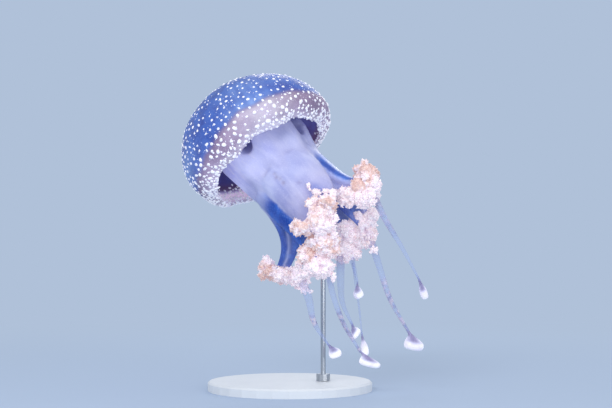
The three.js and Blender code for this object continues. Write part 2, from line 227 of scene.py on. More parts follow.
# %% Build the bell
def closed_faces(rings, sides):
    """Faces for rings of points in order, closed by one more point at each end."""
    faces = []
    for i in range(rings - 1):
        for j in range(sides):
            k = (j + 1) % sides
            faces.append([i * sides + j, i * sides + k, (i + 1) * sides + k, (i + 1) * sides + j])
    ends = rings * sides
    last = ends - sides
    for j in range(sides):
        k = (j + 1) % sides
        faces.append([ends, k, j])
        faces.append([ends + 1, last + j, last + k])
    return faces


def build_bell():
    radius, height, inside = bell_outline()
    azimuth = np.arange(BELL_ROUND) * 2 * np.pi / BELL_ROUND
    r, a = np.meshgrid(radius, azimuth, indexing="ij")
    h, wall = (np.broadcast_to(values[:, None], r.shape) for values in (height, inside))
    ripple = RIPPLE * np.sin(9 * a + 3 * np.sin(2 * a)) * soft_step(r, 0.3 * BELL_RADIUS, BELL_RADIUS)
    reach = r + ripple
    points = np.stack([reach * np.cos(a), -reach * np.sin(a), bent(r, h, a)], axis=-1).reshape(-1, 3)
    points = np.vstack([points, [0, 0, DOME_HEIGHT], [0, 0, INNER_HEIGHT]])
    rounds = {
        "height": np.append(h.ravel(), [DOME_HEIGHT, INNER_HEIGHT]),
        "azimuth": np.append(a.ravel(), [0, 0]),
        "inside": np.append(wall.ravel(), [0, 1]),
    }
    return points, closed_faces(len(radius), BELL_ROUND), rounds


bell_points, bell_faces, bell_round = build_bell()
print("bell", len(bell_points), "points")

# %% [markdown]
# ## Where the bell is blue, milky or white
# Above, the jelly is clear and looks blue. Below a soft, slanting line it turns a milky lavender pink.
# The line lies high on the right and dips below the widest ring on the left, where a strip of clear
# jelly shows outside the band. The lappets are white.

# %% Bell masks
BAND_LINE = ([-1, -0.85, -0.64, -0.38, 0.0, 1], [-16, -15, -9, -6, 1.3, 4])  # rightness, mm up


def bell_glow(around, z):
    """Painted light showing through the dome, as a lighter blue: two patches on the near side and one on the
    left.
    """
    glow = close_to(around, 1.4, 0.34) * (close_to(z, 2 * MM, 9 * MM) + 0.6 * close_to(z, 24 * MM, 12 * MM))
    glow = glow * (0.78 + 0.22 * np.sin(36 * around + 3 * np.sin(5 * around)))  # faint radial canals
    return glow + 0.75 * close_to(around, 2.8, 0.4) * close_to(z, 1 * MM, 11 * MM)


def bell_masks():
    height, around, inside = (bell_round[key] for key in ("height", "azimuth", "inside"))
    outer = 1 - inside
    z = bell_points[:, 2]
    line = np.interp(np.cos(around), *BAND_LINE) * MM
    wander = 0.9 * MM * np.sin(7 * around + 1.3) + 0.6 * MM * np.sin(17 * around)
    below = line + wander - z
    pink = soft_step(below, -2.4 * MM, 2.6 * MM)
    edge = close_to(below, 1.0 * MM, 3.0 * MM)
    margin = soft_step(-height, 0.80 * BAND_DEPTH, BAND_DEPTH)
    broad = close_to(around, 1.3, 0.38) * pink * outer
    roof = inside * soft_step(z, -8 * MM, 3 * MM)
    lip = inside * (1 - soft_step(z, -9 * MM, 0))
    brown = inside * close_to(z, -1.5 * MM, 3.5 * MM)
    # Painted light: the inner lip, the margin and the roof lie in shade, so this mask makes them glow with
    # their own colour, the roof more on the right.
    lit = 0.8 * lip * (1 - 0.6 * brown) + 0.1 * margin * outer
    return {
        "pink": np.clip(pink * outer + lip, 0, 1),
        "warm": np.clip(0.42 * edge * outer + 0.6 * roof + 0.8 * brown, 0, 1),
        "milk": 0.1 * outer,
        "glow": np.clip(bell_glow(around, z) * outer * (1 - pink), 0, 1),
        "clear": np.clip(0.24 * outer * (1 - pink), 0, 1),
        "white": np.clip(0.35 * margin + 0.15 * lip + 0.4 * broad, 0, 1),
        "rim": np.zeros(len(z)),
        "lit": lit + roof * (0.1 + 0.25 * np.cos(around).clip(0, 1)),
    }


bell_mask = bell_masks()
print("milky share of the bell", round(float(bell_mask["pink"].mean()), 2))

# %% [markdown]
# ## Curves and limbs
# Arms and filaments are tubes along a smooth curve. The curve passes through its points at a pace set
# by the root of their distance, which keeps it from looping between points that are close together.


# %% Curve and tube helpers
SHORTEST = 1e-9  # a gap of nothing would divide by zero


def curve_through(points, count):
    """Evenly spaced points on the curve, and its heading at each."""
    points = np.asarray(points, dtype=float)
    path = np.vstack([2 * points[0] - points[1], points, 2 * points[-1] - points[-2]])
    share = np.linspace(0, 1, 41)[:, None]
    pieces = []
    for a, b, c, d in zip(path, path[1:], path[2:], path[3:]):
        gaps = ((a, b), (b, c), (c, d))
        before, here, after = (max(np.linalg.norm(q - p), SHORTEST) ** 0.5 for p, q in gaps)
        start = ((b - a) / before - (c - a) / (before + here) + (c - b) / here) * here
        end = ((c - b) / here - (d - b) / (here + after) + (d - c) / after) * here
        cube = 2 * b - 2 * c + start + end
        square = -3 * b + 3 * c - 2 * start - end
        pieces.append(b + start * share + square * share**2 + cube * share**3)
    dense = np.vstack([pieces[0]] + [piece[1:] for piece in pieces[1:]])
    length = np.append(0, np.cumsum(np.linalg.norm(np.diff(dense, axis=0), axis=1)))
    even = np.linspace(0, length[-1], count)
    centres = np.stack([np.interp(even, length, dense[:, i]) for i in range(3)], axis=1)
    heading = np.gradient(centres, axis=0)
    return centres, heading / np.linalg.norm(heading, axis=1)[:, None]


def unit(vectors):
    return vectors / np.linalg.norm(vectors, axis=-1, keepdims=True)


def tube(centres, first, second, half, across, sides):
    """A closed tube. First and second are unit vectors at each centre; half and across go with them."""
    angle = np.arange(sides) * 2 * np.pi / sides
    round_first = np.cos(angle)[None, :, None] * (np.asarray(half)[:, None, None] * first[:, None, :])
    round_second = np.sin(angle)[None, :, None] * (np.asarray(across)[:, None, None] * second[:, None, :])
    points = (centres[:, None, :] + round_first + round_second).reshape(-1, 3)
    points = np.vstack([points, centres[0], centres[-1]])
    steps = len(centres)
    around = np.append(np.tile(angle, steps), [0, 0])
    share = np.append(np.repeat(np.linspace(0, 1, steps), sides), [0, 1])
    return points, closed_faces(steps, sides), around, share


# %% [markdown]
# ## Gathering the flesh
# The parts of the body are first made as separate closed shapes that run into each other, each with
# its masks. A voxel remesh later melts them together, and each point of the melted surface takes the
# masks of the nearest point of the shapes.

# %% The flesh basket
# The last mask is painted light: how strongly each place glows with its own colour, to lift places in shade.
MASKS = ("milk", "pink", "warm", "glow", "clear", "white", "rim", "lit")


def empty_basket():
    return {"points": [], "faces": [], "masks": {mask: [] for mask in MASKS}, "count": 0}


flesh = empty_basket()
threads = empty_basket()


def add_flesh(points, faces, basket=flesh, **masks):
    base = basket["count"]
    basket["points"].append(np.asarray(points))
    basket["faces"].extend([[i + base for i in face] for face in faces])
    for mask in MASKS:
        basket["masks"][mask].append(np.broadcast_to(masks.get(mask, 0.0), (len(points),)))
    basket["count"] += len(points)


# %% [markdown]
# ## The arm disc
# A stout column hangs from the middle of the dome. Four pillars carry it, with four hollows between
# them that open into the stomach's windows. Each level is a ring of points about the column's curved
# axis, and a point that lies in a hollow is pushed in to the hollow's inner wall.

# %% Arm disc
DISC_STEPS = [  # below the widest ring, sideways, radius
    (-50, 0, 37),
    (-12, 1, 38),
    (5, 2, 41),
    (33, 5.5, 36),
    (48, 9, 35),
    (62, 12.5, 31),
    (80, 17.5, 24),
]
FLUTES = 8
FLUTE_DEPTH = 0.045
WINDOWS = 4
WINDOW_TURN = math.radians(22.5)
WINDOW_LEVEL = 6 * MM
WINDOW_REACH = 41 * MM
WINDOW_HALF = np.array([15, 9, 14]) * MM  # inwards, across, high
SLIMMER = 0.3 * MM  # the flesh is made this much slimmer than its solids


def disc_profile(levels, spread=9):
    """How far the column's axis leans aside and how wide it is, evened over a few levels."""
    below, side, radius = np.array(DISC_STEPS).T * MM
    kernel = np.ones(spread) / spread
    rows = [np.interp(levels, below, values) for values in (side, radius)]
    return [np.convolve(np.pad(row, spread // 2, mode="edge"), kernel, mode="valid") for row in rows]


def windowed(r, a, below):
    """The column's radius with its windows pressed in, and how deep each point lies in one."""
    inwards, across, high = WINDOW_HALF
    hollow = np.zeros_like(r)
    for i in range(WINDOWS):
        turn = a - WINDOW_TURN - i * 2 * np.pi / WINDOWS
        square = (np.cos(turn) / inwards) ** 2 + (np.sin(turn) / across) ** 2
        middle = -2 * WINDOW_REACH * np.cos(turn) / inwards**2
        rest = (WINDOW_REACH / inwards) ** 2 + ((below - WINDOW_LEVEL) / high) ** 2 - 1
        root = middle**2 - 4 * square * rest
        inner = (-middle - np.sqrt(root.clip(0))) / (2 * square)
        hit = (root > 0) & (inner > 0) & (inner < r) & (np.cos(turn) > 0)
        hollow = np.where(hit, (r - inner) / inwards, hollow)
        r = np.where(hit, inner, r)
    return r, hollow


# %% Build the arm disc
def build_disc(rings=110, sides=150):
    levels = np.linspace(-47, 80, rings) * MM
    side, radius = disc_profile(levels)
    azimuth = np.arange(sides) * 2 * np.pi / sides
    r, a = np.meshgrid(radius, azimuth, indexing="ij")
    below = np.broadcast_to(levels[:, None], r.shape)
    r, hollow = windowed(r * (1 + FLUTE_DEPTH * np.cos(FLUTES * a)) - SLIMMER, a, below)
    upright = np.stack([side[:, None] + r * np.cos(a), -r * np.sin(a), -below], axis=-1).reshape(-1, 3)
    upright = np.vstack([upright, [side[0], 0, -levels[0]], [side[-1], 0, -levels[-1]]])
    hollow = np.append(hollow.ravel(), [0, 0])
    shallow = 1 - hollow.clip(0, 1)
    below = np.append(below.ravel(), [levels[0], levels[-1]])
    deep = soft_step(-below, -4 * MM, 16 * MM)  # up inside the bell
    leftness = np.append(-np.cos(a + 0.5).ravel(), [0, 0]).clip(0, 1)
    add_flesh(
        placed(upright),
        closed_faces(rings, sides),
        # Painted shade: up inside the bell and deep in the windows the column is less milky and a darker
        # mauve.
        milk=(1 - 0.55 * hollow.clip(0, 1)) * (1 - 0.45 * deep),
        clear=0.04,
        pink=0.12 * soft_step(below, 12 * MM, 40 * MM),
        warm=np.clip(0.3 * deep + 0.5 * hollow, 0, 1),
        # Painted light: a lighter band where light shows through the column.
        glow=0.25 * close_to(below, 22 * MM, 14 * MM),
        # Painted light: the column's left flank, in shade, glows a little.
        lit=0.42 * leftness * shallow * close_to(below, 20 * MM, 20 * MM),
    )
    return len(upright)


print("arm disc", build_disc(), "points")

# %% [markdown]
# ## The eight mouth arms
# The arms run down the column's sides and flare out to their frills. Each is a flattened limb with a
# thin web along its inner side. Most of the arms that hang free have a clear middle between two bright
# lines, one outside and one inside. The two on the near side are milky all over.

# %% Mouth arm sizes
CROWN_POINT = np.array([19, 0, -86.6]) * MM
CROWN_LEAN = math.radians(15)
CROWN_RIGHT = np.array([math.cos(CROWN_LEAN), 0, math.sin(CROWN_LEAN)])
CROWN_NEAR = np.array([0, -1, 0])
CROWN_UP = np.array([-math.sin(CROWN_LEAN), 0, math.cos(CROWN_LEAN)])
# Each arm's frilled mass lies at a swing in degrees and so far out and down. Milk is how milky the arm is
# inside its inner line, line is where that line runs across it, and clear is how see-through it is.
ARMS = [
    dict(swing=-1, out=43, down=10.5, width=1, milk=0.9, line=0.12, clear=0.2),
    dict(swing=24, out=36, down=10.6, width=1.3, milk=0.87, line=1.5, clear=0.04),
    dict(swing=11.6, out=42, down=18.4, width=1.2, milk=0.9, line=1.5, clear=0.04),
    dict(swing=2.5, out=39.1, down=32.9, width=1, milk=0.1, line=-2, clear=0.25),
    dict(swing=0, out=67.5, down=4.5, width=1, milk=0.1, line=-0.75, clear=0.3),
    dict(swing=-3, out=38, down=22.4, width=1, milk=0.2, line=-0.6, clear=0.4),
    dict(swing=-17.8, out=32, down=27.5, width=1, milk=0.2, line=-0.6, clear=0.4),
    dict(swing=-22.3, out=32, down=29.1, width=1, milk=0.2, line=-0.6, clear=0.4),
]
ROOT_FADE = (0.1, 0.46)  # the disc's milk fades between these shares of an arm's length
SOON_FADE = {0: (0.05, 0.38), 3: (0.02, 0.26)}  # arms 1 and 4 lose it sooner
ARM_START = (30, -48)
ARM_FLARE = [(0, 0), (0.03, 0.35), (0.2, 0.68), (0.5, 0.88), (1, 1)]
ARM_THICK = [6, 6.5, 6, 5, 4]
ARM_WIDE = [11, 12.5, 11.5, 9.5, 7]
WEB_INWARD = [4, 9, 11, 9, 5]
WEB_THICK = 6
WEB_WIDE = 3
WEB_SLIMMER = 0.2  # millimetres
print("mouth arms", len(ARMS))


# %% Mouth arm paths
def outward(azimuth):
    return math.cos(azimuth) * CROWN_RIGHT + math.sin(azimuth) * CROWN_NEAR


def crown_place(azimuth, out, down):
    return CROWN_POINT + outward(azimuth) * out * MM - CROWN_UP * down * MM


def azimuths(k):
    start = (k + 0.5) / len(ARMS) * 2 * math.pi
    return start, start + math.radians(ARMS[k]["swing"])


def mass_centre(k):
    return crown_place(azimuths(k)[1], ARMS[k]["out"], ARMS[k]["down"])


def stops(values, share):
    return np.interp(share, np.linspace(0, 1, len(values)), values) * MM


def arm_path(k, inward=(0, 0, 0, 0, 0)):
    arm = ARMS[k]
    start, end = azimuths(k)
    path = []
    for (out_share, down_share), shift in zip(ARM_FLARE, inward):
        azimuth = start + (end - start) * out_share
        out = ARM_START[0] + (arm["out"] - ARM_START[0]) * out_share - shift
        down = ARM_START[1] + (arm["down"] - ARM_START[1]) * down_share
        path.append(crown_place(azimuth, out, down))
    return path


def arm_frame(k, path, steps):
    start, end = azimuths(k)
    centres, heading = curve_through(path, steps)
    out = np.array([outward(start + (end - start) * s) for s in np.linspace(0, 1, steps)])
    first = unit(out - (out * heading).sum(1)[:, None] * heading)
    return centres, first, np.cross(heading, first)


# %% Build the mouth arms
def build_arm(k, steps=56, sides=36):
    arm = ARMS[k]
    share = np.linspace(0, 1, steps)
    thick = stops(ARM_THICK, share) - SLIMMER
    wide = stops(ARM_WIDE, share) * arm["width"] - SLIMMER
    points, faces, around, along = tube(*arm_frame(k, arm_path(k), steps), thick, wide, sides)
    out = np.cos(around)
    outer_edge = soft_step(out, 0.86, 0.99)
    inner_edge = close_to(out, arm["line"], 0.11)
    within = soft_step(arm["line"] - out, -0.1, 0.2)
    free = soft_step(along, 0.12, 0.4)
    rooted = 1 - soft_step(along, *SOON_FADE.get(k, ROOT_FADE))
    near_side = arm["line"] > 1  # all milk, with no inner line
    lined = abs(arm["line"]) < 1
    # The near-side arms lose some milk towards their frills: partly clearer jelly, partly painted shade round
    # the frills.
    clear_and_shaded_end = 1 - 0.35 * near_side * soft_step(along, 0.5, 0.95)
    rim = np.clip(0.7 * outer_edge + 0.8 * inner_edge, 0, 1) * free * lined
    add_flesh(
        placed(points),
        faces,
        milk=np.clip((0.05 + 0.95 * within) * arm["milk"] * clear_and_shaded_end + 0.9 * rooted, 0, 1),
        clear=arm["clear"] * (1 - 0.7 * outer_edge) * (0.3 + 0.7 * free),
        rim=rim,
        pink=0.26 * near_side * soft_step(along, 0.2, 0.6),
        # Painted light: the rims and the milky inner part of lined arms glow a little, as they face away from
        # the lamps.
        lit=0.02 + 0.22 * rim + 0.2 * lined * within * arm["milk"],
    )
    thick, wide = (np.full(steps, (half - WEB_SLIMMER) * MM) for half in (WEB_THICK, WEB_WIDE))
    points, faces, _, _ = tube(*arm_frame(k, arm_path(k, WEB_INWARD), steps), thick, wide, 20)
    milk = arm["milk"]
    # The web glows a little too, as painted light.
    add_flesh(placed(points), faces, milk=milk, clear=0.7 * arm["clear"], lit=0.14 * milk)


for k in range(len(ARMS)):
    build_arm(k)
print("flesh so far", flesh["count"], "points")

# %% [markdown]
# ## The filaments and their clubs
# Long clear filaments trail from six of the arms, and each ends in an opaque white club with a mauve
# neck. A filament thins slowly at first and faster later. The club widens out of it, flat and blunt.

# %% Filament sizes
FILAMENTS = [  # root, run and aim go right, away and up, the root from the arm's mass
    dict(arm=1, root=(8, 0, -5), run=(43, 4, -80.5), bow=(-1.5, 0), radius=(4.2, 1.3),
         flecks=(0.02, 0.5, 0.5), aim=(5.2, 0, -16), wide=(3.3, 0, 1), thick=2.8),
    dict(arm=4, root=(11, 8, -4), run=(29, 4, -74.6), bow=(-4.5, -5), radius=(3.8, 1.8),
         flecks=(0.5, 0.97, 0.9), aim=(8.5, 0, -13), wide=(9.2, 0, -2.2), thick=4.8),
    dict(arm=5, root=(17, -8, 0), run=(26, -8, -62), bow=(-0.5, -4.5), radius=(5.4, 1.3),
         flecks=(0.55, 0.68, 1), aim=(7, 0, -10.2), wide=(5.4, 0, 1.8), thick=3),
    dict(arm=6, root=(6.5, -5, -1), run=(10.6, -4, -61.5), bow=(-3.5, -5.5), radius=(5, 1.5),
         aim=(4.5, 0, -9.5), wide=(3.4, 0, 4.4), thick=3),
    dict(arm=7, root=(-2, 0, -7), run=(7, -6, -29.5), bow=(0, 0), radius=(3.6, 1.1),
         aim=(1.5, 0, -13), wide=(4.2, 0, 1.8), thick=3.2),
    dict(arm=7, thin=True, root=(0, 3, -10), run=(9, 2, -73.5), bow=(0, 0.5), radius=(1.8, 1.2),
         aim=(3.5, 0, -17), wide=(3.4, 0, 0.7), thick=2.4),
    dict(arm=8, root=(1, 0, -9), run=(34.2, -4, -85), bow=(-2.5, -4.5), radius=(4.4, 1.8),
         flecks=(0.45, 0.95, 0.8), aim=(4.8, 0, -16.4), wide=(8.6, 0, -1.6), thick=5),
]
FLECK_SIZE = 3.2 * MM
print("filaments", len(FILAMENTS))


# %% A filament
def filament_path(thread):
    start = placed(mass_centre(thread["arm"] - 1)) + np.array(thread["root"]) * MM
    run = np.array(thread["run"]) * MM
    bows = (0, thread["bow"][0], thread["bow"][1], 0)
    return [start + run * i / 3 + np.array([bow * MM, 0, 0]) for i, bow in enumerate(bows)]


def build_filament(thread, steps=110, sides=24):
    centres, heading = curve_through(filament_path(thread), steps)
    near = np.array([0.0, -1.0, 0.0])
    first = unit(near - (heading @ near)[:, None] * heading)
    second = np.cross(heading, first)
    share = np.linspace(0, 1, steps)
    root, neck = thread["radius"]
    radius = (root + (neck - root) * share**1.4 - 0.15) * MM
    points, faces, around, along = tube(centres, first, second, radius, 0.8 * radius, sides)
    tail = soft_step(along, 0.9, 1)
    root = 1 - soft_step(along, 0, 0.3)
    low, high, strength = thread.get("flecks", (0, 0, 0))
    places = [Vector(p) / FLECK_SIZE for p in points]
    patchy = soft_step(np.array([noise.noise(p) for p in places]), -0.14, 0.1)
    begun = soft_step(along, low - 0.05, low + 0.05)
    ended = soft_step(along, high - 0.02, high + 0.05)
    flecks = patchy * begun * (1 - ended) * strength
    # Painted highlight: the filament is milkier and whiter along its two sides, seen from the front.
    edge = np.abs(np.sin(around)) ** 3
    add_flesh(
        points, faces, threads,
        clear=np.clip(1.0 - 0.5 * tail - 0.3 * root - 0.2 * edge - 1.0 * flecks, 0, 1),
        milk=np.clip(0.35 + 0.4 * root + 0.3 * edge, 0, 1),
        # Painted light: lighter blue away from the root, where light shows through.
        glow=0.9 * (1 - root),
        pink=np.clip(0.9 * flecks + 0.35 * root, 0, 1),
        warm=np.clip(0.35 * tail + 0.25 * flecks, 0, 1),
        white=np.clip(0.25 * edge + 0.5 * flecks * (patchy > 0.9), 0, 1),
    )
    return centres[-1], heading[-1]


# %% A club
CLUB_ROUND = 0.64  # where along a club its blunt end begins
CLUB_SWING = 0.62  # where along it it has swung out to its side


def build_club(thread, tip, heading, steps=40, sides=32):
    """A mauve neck that widens into a flat white club with a blunt end."""
    aim = np.array(thread["aim"]) * MM
    wide = np.array(thread["wide"]) * MM
    across = unit(wide)
    front = unit(np.cross(aim, wide))
    half = np.linalg.norm(wide)
    deep = thread["thick"] * MM
    neck = thread["radius"][1] * MM
    share = np.linspace(0, 1, steps)
    rounded = np.sqrt((1 - np.clip((share - CLUB_ROUND) / 0.36, 0, 1) ** 4.5).clip(0))
    flare = (neck + (half - neck) * soft_step(share, 0.08, 0.6)) * rounded + 0.02 * MM
    depth = (0.8 * neck + (deep - 0.8 * neck) * soft_step(share, 0.1, 0.8)) * rounded + 0.02 * MM
    sideways = (aim @ across) * across
    swing = np.sin(np.pi / 2 * np.clip(share / CLUB_SWING, 0, 1))
    centres = tip - np.outer(1.2 * MM * (1 - share), heading)
    centres = centres + np.outer(share, aim - sideways) + np.outer(swing, 0.86 * sideways)
    first, second = (np.tile(side, (steps, 1)) for side in (across, front))
    points, faces, around, along = tube(centres, first, second, flare, depth, sides)
    dimple = 0.12 * deep * soft_step(along, 0.35, 0.6)
    dimple = dimple * (1 - soft_step(along, 0.6, 0.9)) * np.cos(2 * around)
    points = points + np.outer(dimple, unit(aim))
    side = np.abs(np.cos(around)) ** 2
    bare = 0.12 if "thin" in thread else 0.46
    white = np.clip(soft_step(along, bare, bare + 0.26) + soft_step(along, 0.16, 0.42) * side, 0, 1)
    # The club's white glows a little, as painted light.
    add_flesh(
        points, faces, threads,
        white=white, milk=0.6, pink=0.5 * (1 - white), clear=0.35 * (1 - white), lit=0.04 + 0.18 * white,
        warm=0.3 * (1 - white) * soft_step(along, 0.0, 0.2),
    )


for thread in FILAMENTS:
    build_club(thread, *build_filament(thread))
print("threads", threads["count"], "points")

# %% [markdown]
# ## One skin
# A voxel remesh turns overlapping shapes into closed surfaces of even faces, and a little smoothing
# takes away its steps. The body and the thin threads are melted apart, as the threads need a finer
# grid. The bell is thin-walled and finely lobed, so it keeps its own grid. All of them are joined as
# one object of closed shells. The column runs up into the bell. The threads don't touch the body's
# shell: each crosses the frill of its own arm, a piece that comes later. A remesh can also leave
# crumbs, closed shells of a few faces, and those are dropped.

# %% Melt shapes into one surface
BODY_VOXEL = 1.38 * MM
THREAD_VOXEL = 0.85 * MM
CRUMB = 60  # a closed shell with fewer points than this is a crumb


def shell_sizes(count, edges):
    """For every point, how many points its own closed shell has."""
    shell = np.arange(count)
    settled = False
    while not settled:
        lowest = shell.copy()
        np.minimum.at(lowest, edges[:, 0], shell[edges[:, 1]])
        np.minimum.at(lowest, edges[:, 1], shell[edges[:, 0]])
        lowest = lowest[lowest]
        settled = bool((lowest == shell).all())
        shell = lowest
    return np.bincount(shell, minlength=count)[shell]


def without_crumbs(made):
    small = shell_sizes(len(made.data.vertices), edges_of(made.data)) < CRUMB
    if small.any():
        form = bmesh.new()
        form.from_mesh(made.data)
        crumbs = [point for point, gone in zip(form.verts, small) if gone]
        bmesh.ops.delete(form, geom=crumbs, context="VERTS")
        form.to_mesh(made.data)
        form.free()
        print(made.name, "lost", small.sum(), "points of crumbs")
    return made


def melt(name, points, faces, voxel):
    made = make_mesh(name, points, faces)
    remesh = made.modifiers.new("melt", "REMESH")
    remesh.mode = "VOXEL"
    remesh.voxel_size = voxel
    return without_crumbs(applied(made))


def carry_masks(masks, sources, targets):
    """The masks of the nearest source point, for every target point."""
    tree = kdtree.KDTree(len(sources))
    for i, point in enumerate(sources):
        tree.insert(point, i)
    tree.balance()
    nearest = np.array([tree.find(point)[1] for point in targets])
    return {mask: np.asarray(values)[nearest] for mask, values in masks.items()}


def melted(name, basket, voxel, evening):
    """The basket's shapes melted together: points, faces and masks."""
    sources = np.vstack(basket["points"])
    made = melt(name, sources, basket["faces"], voxel)
    edges = edges_of(made.data)
    raw = {mask: np.concatenate(values) for mask, values in basket["masks"].items()}
    masks = carry_masks(raw, sources, points_of(made.data))
    masks = {mask: evened(values, edges, 2) for mask, values in masks.items()}
    points = evened(points_of(made.data), edges, evening, 0.45)
    faces = [list(face.vertices) for face in made.data.polygons]
    bpy.data.objects.remove(made)
    print(name, len(faces), "faces")
    return points, faces, masks


# %% Join the bell and the body
PITS = [  # small pits on the near side of the column, and how deep they are
    ((-13.4, -33.4, 188.6), 0.7), ((-11.6, -34.2, 185.6), 0.9), ((-8.4, -36.2, 184.2), 0.6),
    ((-5.4, -37.6, 180.8), 1.0), ((5.5, -40.5, 186.5), 0.6), ((8.5, -41.5, 181.5), 0.5),
]
PIT_REACH = 1.9
PIT_PUSH = (0.2, 0.9, -0.1)
HOLLOWS = [((21, -45, 177), 5), ((27, -48, 173), 5), ((38, -50, 167), 4)]  # bluer places, their reach


def beside(points, place, reach):
    """1 at the place, fading over the reach. Both are in millimetres."""
    return close_to(np.linalg.norm(points - np.array(place) * MM, axis=1), 0, reach * MM)


def pitted(points, faces, masks):
    """The body with its small pits pressed in and its hollows bluer."""
    for place, reach in HOLLOWS:
        masks["milk"] = masks["milk"] * (1 - 0.55 * beside(points, place, reach))
    pit = np.zeros(len(points))
    for place, deep in PITS:
        pit = np.maximum(pit, deep * beside(points, place, PIT_REACH))
    masks["warm"] = np.clip(masks["warm"] + 0.5 * pit, 0, 1)
    return points + np.outer(pit, PIT_PUSH) * MM, faces, masks


def joined_skin():
    parts = [
        pitted(*melted("jelly_body", flesh, BODY_VOXEL, 3)),
        melted("jelly_threads", threads, THREAD_VOXEL, 2),
        (placed(bell_points), bell_faces, bell_mask),
    ]
    points, faces, base = [], [], 0
    for part_points, part_faces, _ in parts:
        points.append(part_points)
        faces += [[i + base for i in face] for face in part_faces]
        base += len(part_points)
    masks = {mask: np.concatenate([part[2][mask] for part in parts]) for mask in MASKS}
    return smooth_shaded(make_mesh("jelly_skin", np.vstack(points), faces, masks))


skin = joined_skin()
FLESH_NODES = ["bell_dome", "bell_margin", "arm_disc"]
FLESH_NODES += [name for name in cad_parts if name.startswith(("oral_arm_", "filament_", "club_"))]
print("skin", sum(len(face.vertices) - 2 for face in skin.data.polygons), "triangles")

# %% [markdown]
# ## Node helpers
# Materials and scatters are both node trees. These few helpers add a node with its inputs, so that
# each tree reads like a recipe. A colour is written as it looks, as three numbers from 0 to 255.

# %% Node helpers
def feed(tree, node, inputs):
    """Links each socket to a node's input, and writes each plain value down there."""
    for key, value in inputs.items():
        if isinstance(value, bpy.types.NodeSocket):
            tree.links.new(value, node.inputs[key])
        else:
            node.inputs[key].default_value = value


def add_node(tree, kind, inputs=None, **settings):
    made = tree.nodes.new(kind)
    for name, value in settings.items():
        setattr(made, name, value)
    feed(tree, made, inputs or {})
    return made


def linear(red, green, blue):
    """A colour as it looks, 0 to 255, as the shader's light values."""
    share = np.array([red, green, blue]) / 255
    light = np.where(share <= 0.04045, share / 12.92, ((share + 0.055) / 1.055) ** 2.4)
    return (*[float(v) for v in light], 1.0)


def mask_of(tree, name):
    return add_node(tree, "ShaderNodeAttribute", attribute_name=name).outputs["Fac"]


def blend_colours(tree, factor, below, above):
    """A mix of two colours. The factor is a socket, or the name of a mask."""
    if isinstance(factor, str):
        factor = mask_of(tree, factor)
    below, above = (linear(*c) if isinstance(c, tuple) else c for c in (below, above))
    return add_node(tree, "ShaderNodeMix", {0: factor, 6: below, 7: above}, data_type="RGBA").outputs[2]


def layered(tree, colour, *layers):
    """The colour with others laid over it in turn, each by its own factor."""
    for factor, above in layers:
        colour = blend_colours(tree, factor, colour, above)
    return colour


def calculate(tree, how, first, second=0.0):
    made = add_node(tree, "ShaderNodeMath", {0: first, 1: second}, operation=how)
    made.use_clamp = how in ("ADD", "SUBTRACT")
    return made.outputs[0]


def times(tree, first, second):
    return calculate(tree, "MULTIPLY", first, second)


def vector_math(tree, how, first, second=(0, 0, 0)):
    inputs = {0: first, "Scale" if how == "SCALE" else 1: second}
    made = add_node(tree, "ShaderNodeVectorMath", inputs, operation=how)
    return made.outputs["Value" if how in ("DOT_PRODUCT", "LENGTH") else "Vector"]


def ramped(tree, value, low, high, to_low=0.0, to_high=1.0):
    inputs = {"Value": value, "From Min": low, "From Max": high, "To Min": to_low, "To Max": to_high}
    return add_node(tree, "ShaderNodeMapRange", inputs, interpolation_type="SMOOTHSTEP").outputs[0]


def bumped(tree, height, strength, distance):
    inputs = {"Strength": strength, "Distance": distance, "Height": height}
    return add_node(tree, "ShaderNodeBump", inputs).outputs[0]


def cloud(tree, place, size, detail=3.0, roughness=0.55, warp=0.0):
    inputs = {"Vector": place, "Scale": 1 / size, "Detail": detail}
    inputs.update({"Roughness": roughness, "Distortion": warp})
    return add_node(tree, "ShaderNodeTexNoise", inputs).outputs["Fac"]


def new_material(name):
    made = bpy.data.materials.new(name)
    made.use_nodes = True
    tree = made.node_tree
    tree.nodes.clear()
    shader = add_node(tree, "ShaderNodeBsdfPrincipled")
    output = add_node(tree, "ShaderNodeOutputMaterial")
    tree.links.new(shader.outputs[0], output.inputs[0])
    place = add_node(tree, "ShaderNodeTexCoord").outputs["Object"]
    return made, tree, shader, place


# %% [markdown]
# ## Wet grain
# Jelly, spots and frills share one effect: a fine unevenness that breaks up the colour and the gloss.
# It is a node group with named inputs, so that each material sets its own size.

# %% The shared grain group
def make_grain():
    group = bpy.data.node_groups.new("wet_grain", "ShaderNodeTree")
    group.interface.new_socket("Place", in_out="INPUT", socket_type="NodeSocketVector")
    for name, start in (("Coarse", 90.0), ("Fine", 700.0)):
        socket = group.interface.new_socket(name, in_out="INPUT", socket_type="NodeSocketFloat")
        socket.default_value = start
    group.interface.new_socket("Mottle", in_out="OUTPUT", socket_type="NodeSocketFloat")
    group.interface.new_socket("Speckle", in_out="OUTPUT", socket_type="NodeSocketFloat")
    entry = add_node(group, "NodeGroupInput").outputs
    noise_inputs = {"Vector": entry["Place"], "Scale": entry["Coarse"], "Detail": 4.0, "Distortion": 0.6}
    mottle = add_node(group, "ShaderNodeTexNoise", noise_inputs).outputs["Fac"]
    dots = add_node(group, "ShaderNodeTexVoronoi", {"Vector": entry["Place"], "Scale": entry["Fine"]})
    out = add_node(group, "NodeGroupOutput")
    speckle = ramped(group, dots.outputs["Distance"], 0.42, 0.12)
    feed(group, out, {"Mottle": ramped(group, mottle, 0.32, 0.68), "Speckle": speckle})
    return group


GRAIN = make_grain()
print("grain group", len(GRAIN.nodes), "nodes")


def grain(tree, place, coarse, fine):
    made = add_node(tree, "ShaderNodeGroup", node_tree=GRAIN)
    feed(tree, made, {"Place": place, "Coarse": 1 / coarse, "Fine": 1 / fine})
    return made.outputs["Mottle"], made.outputs["Speckle"]


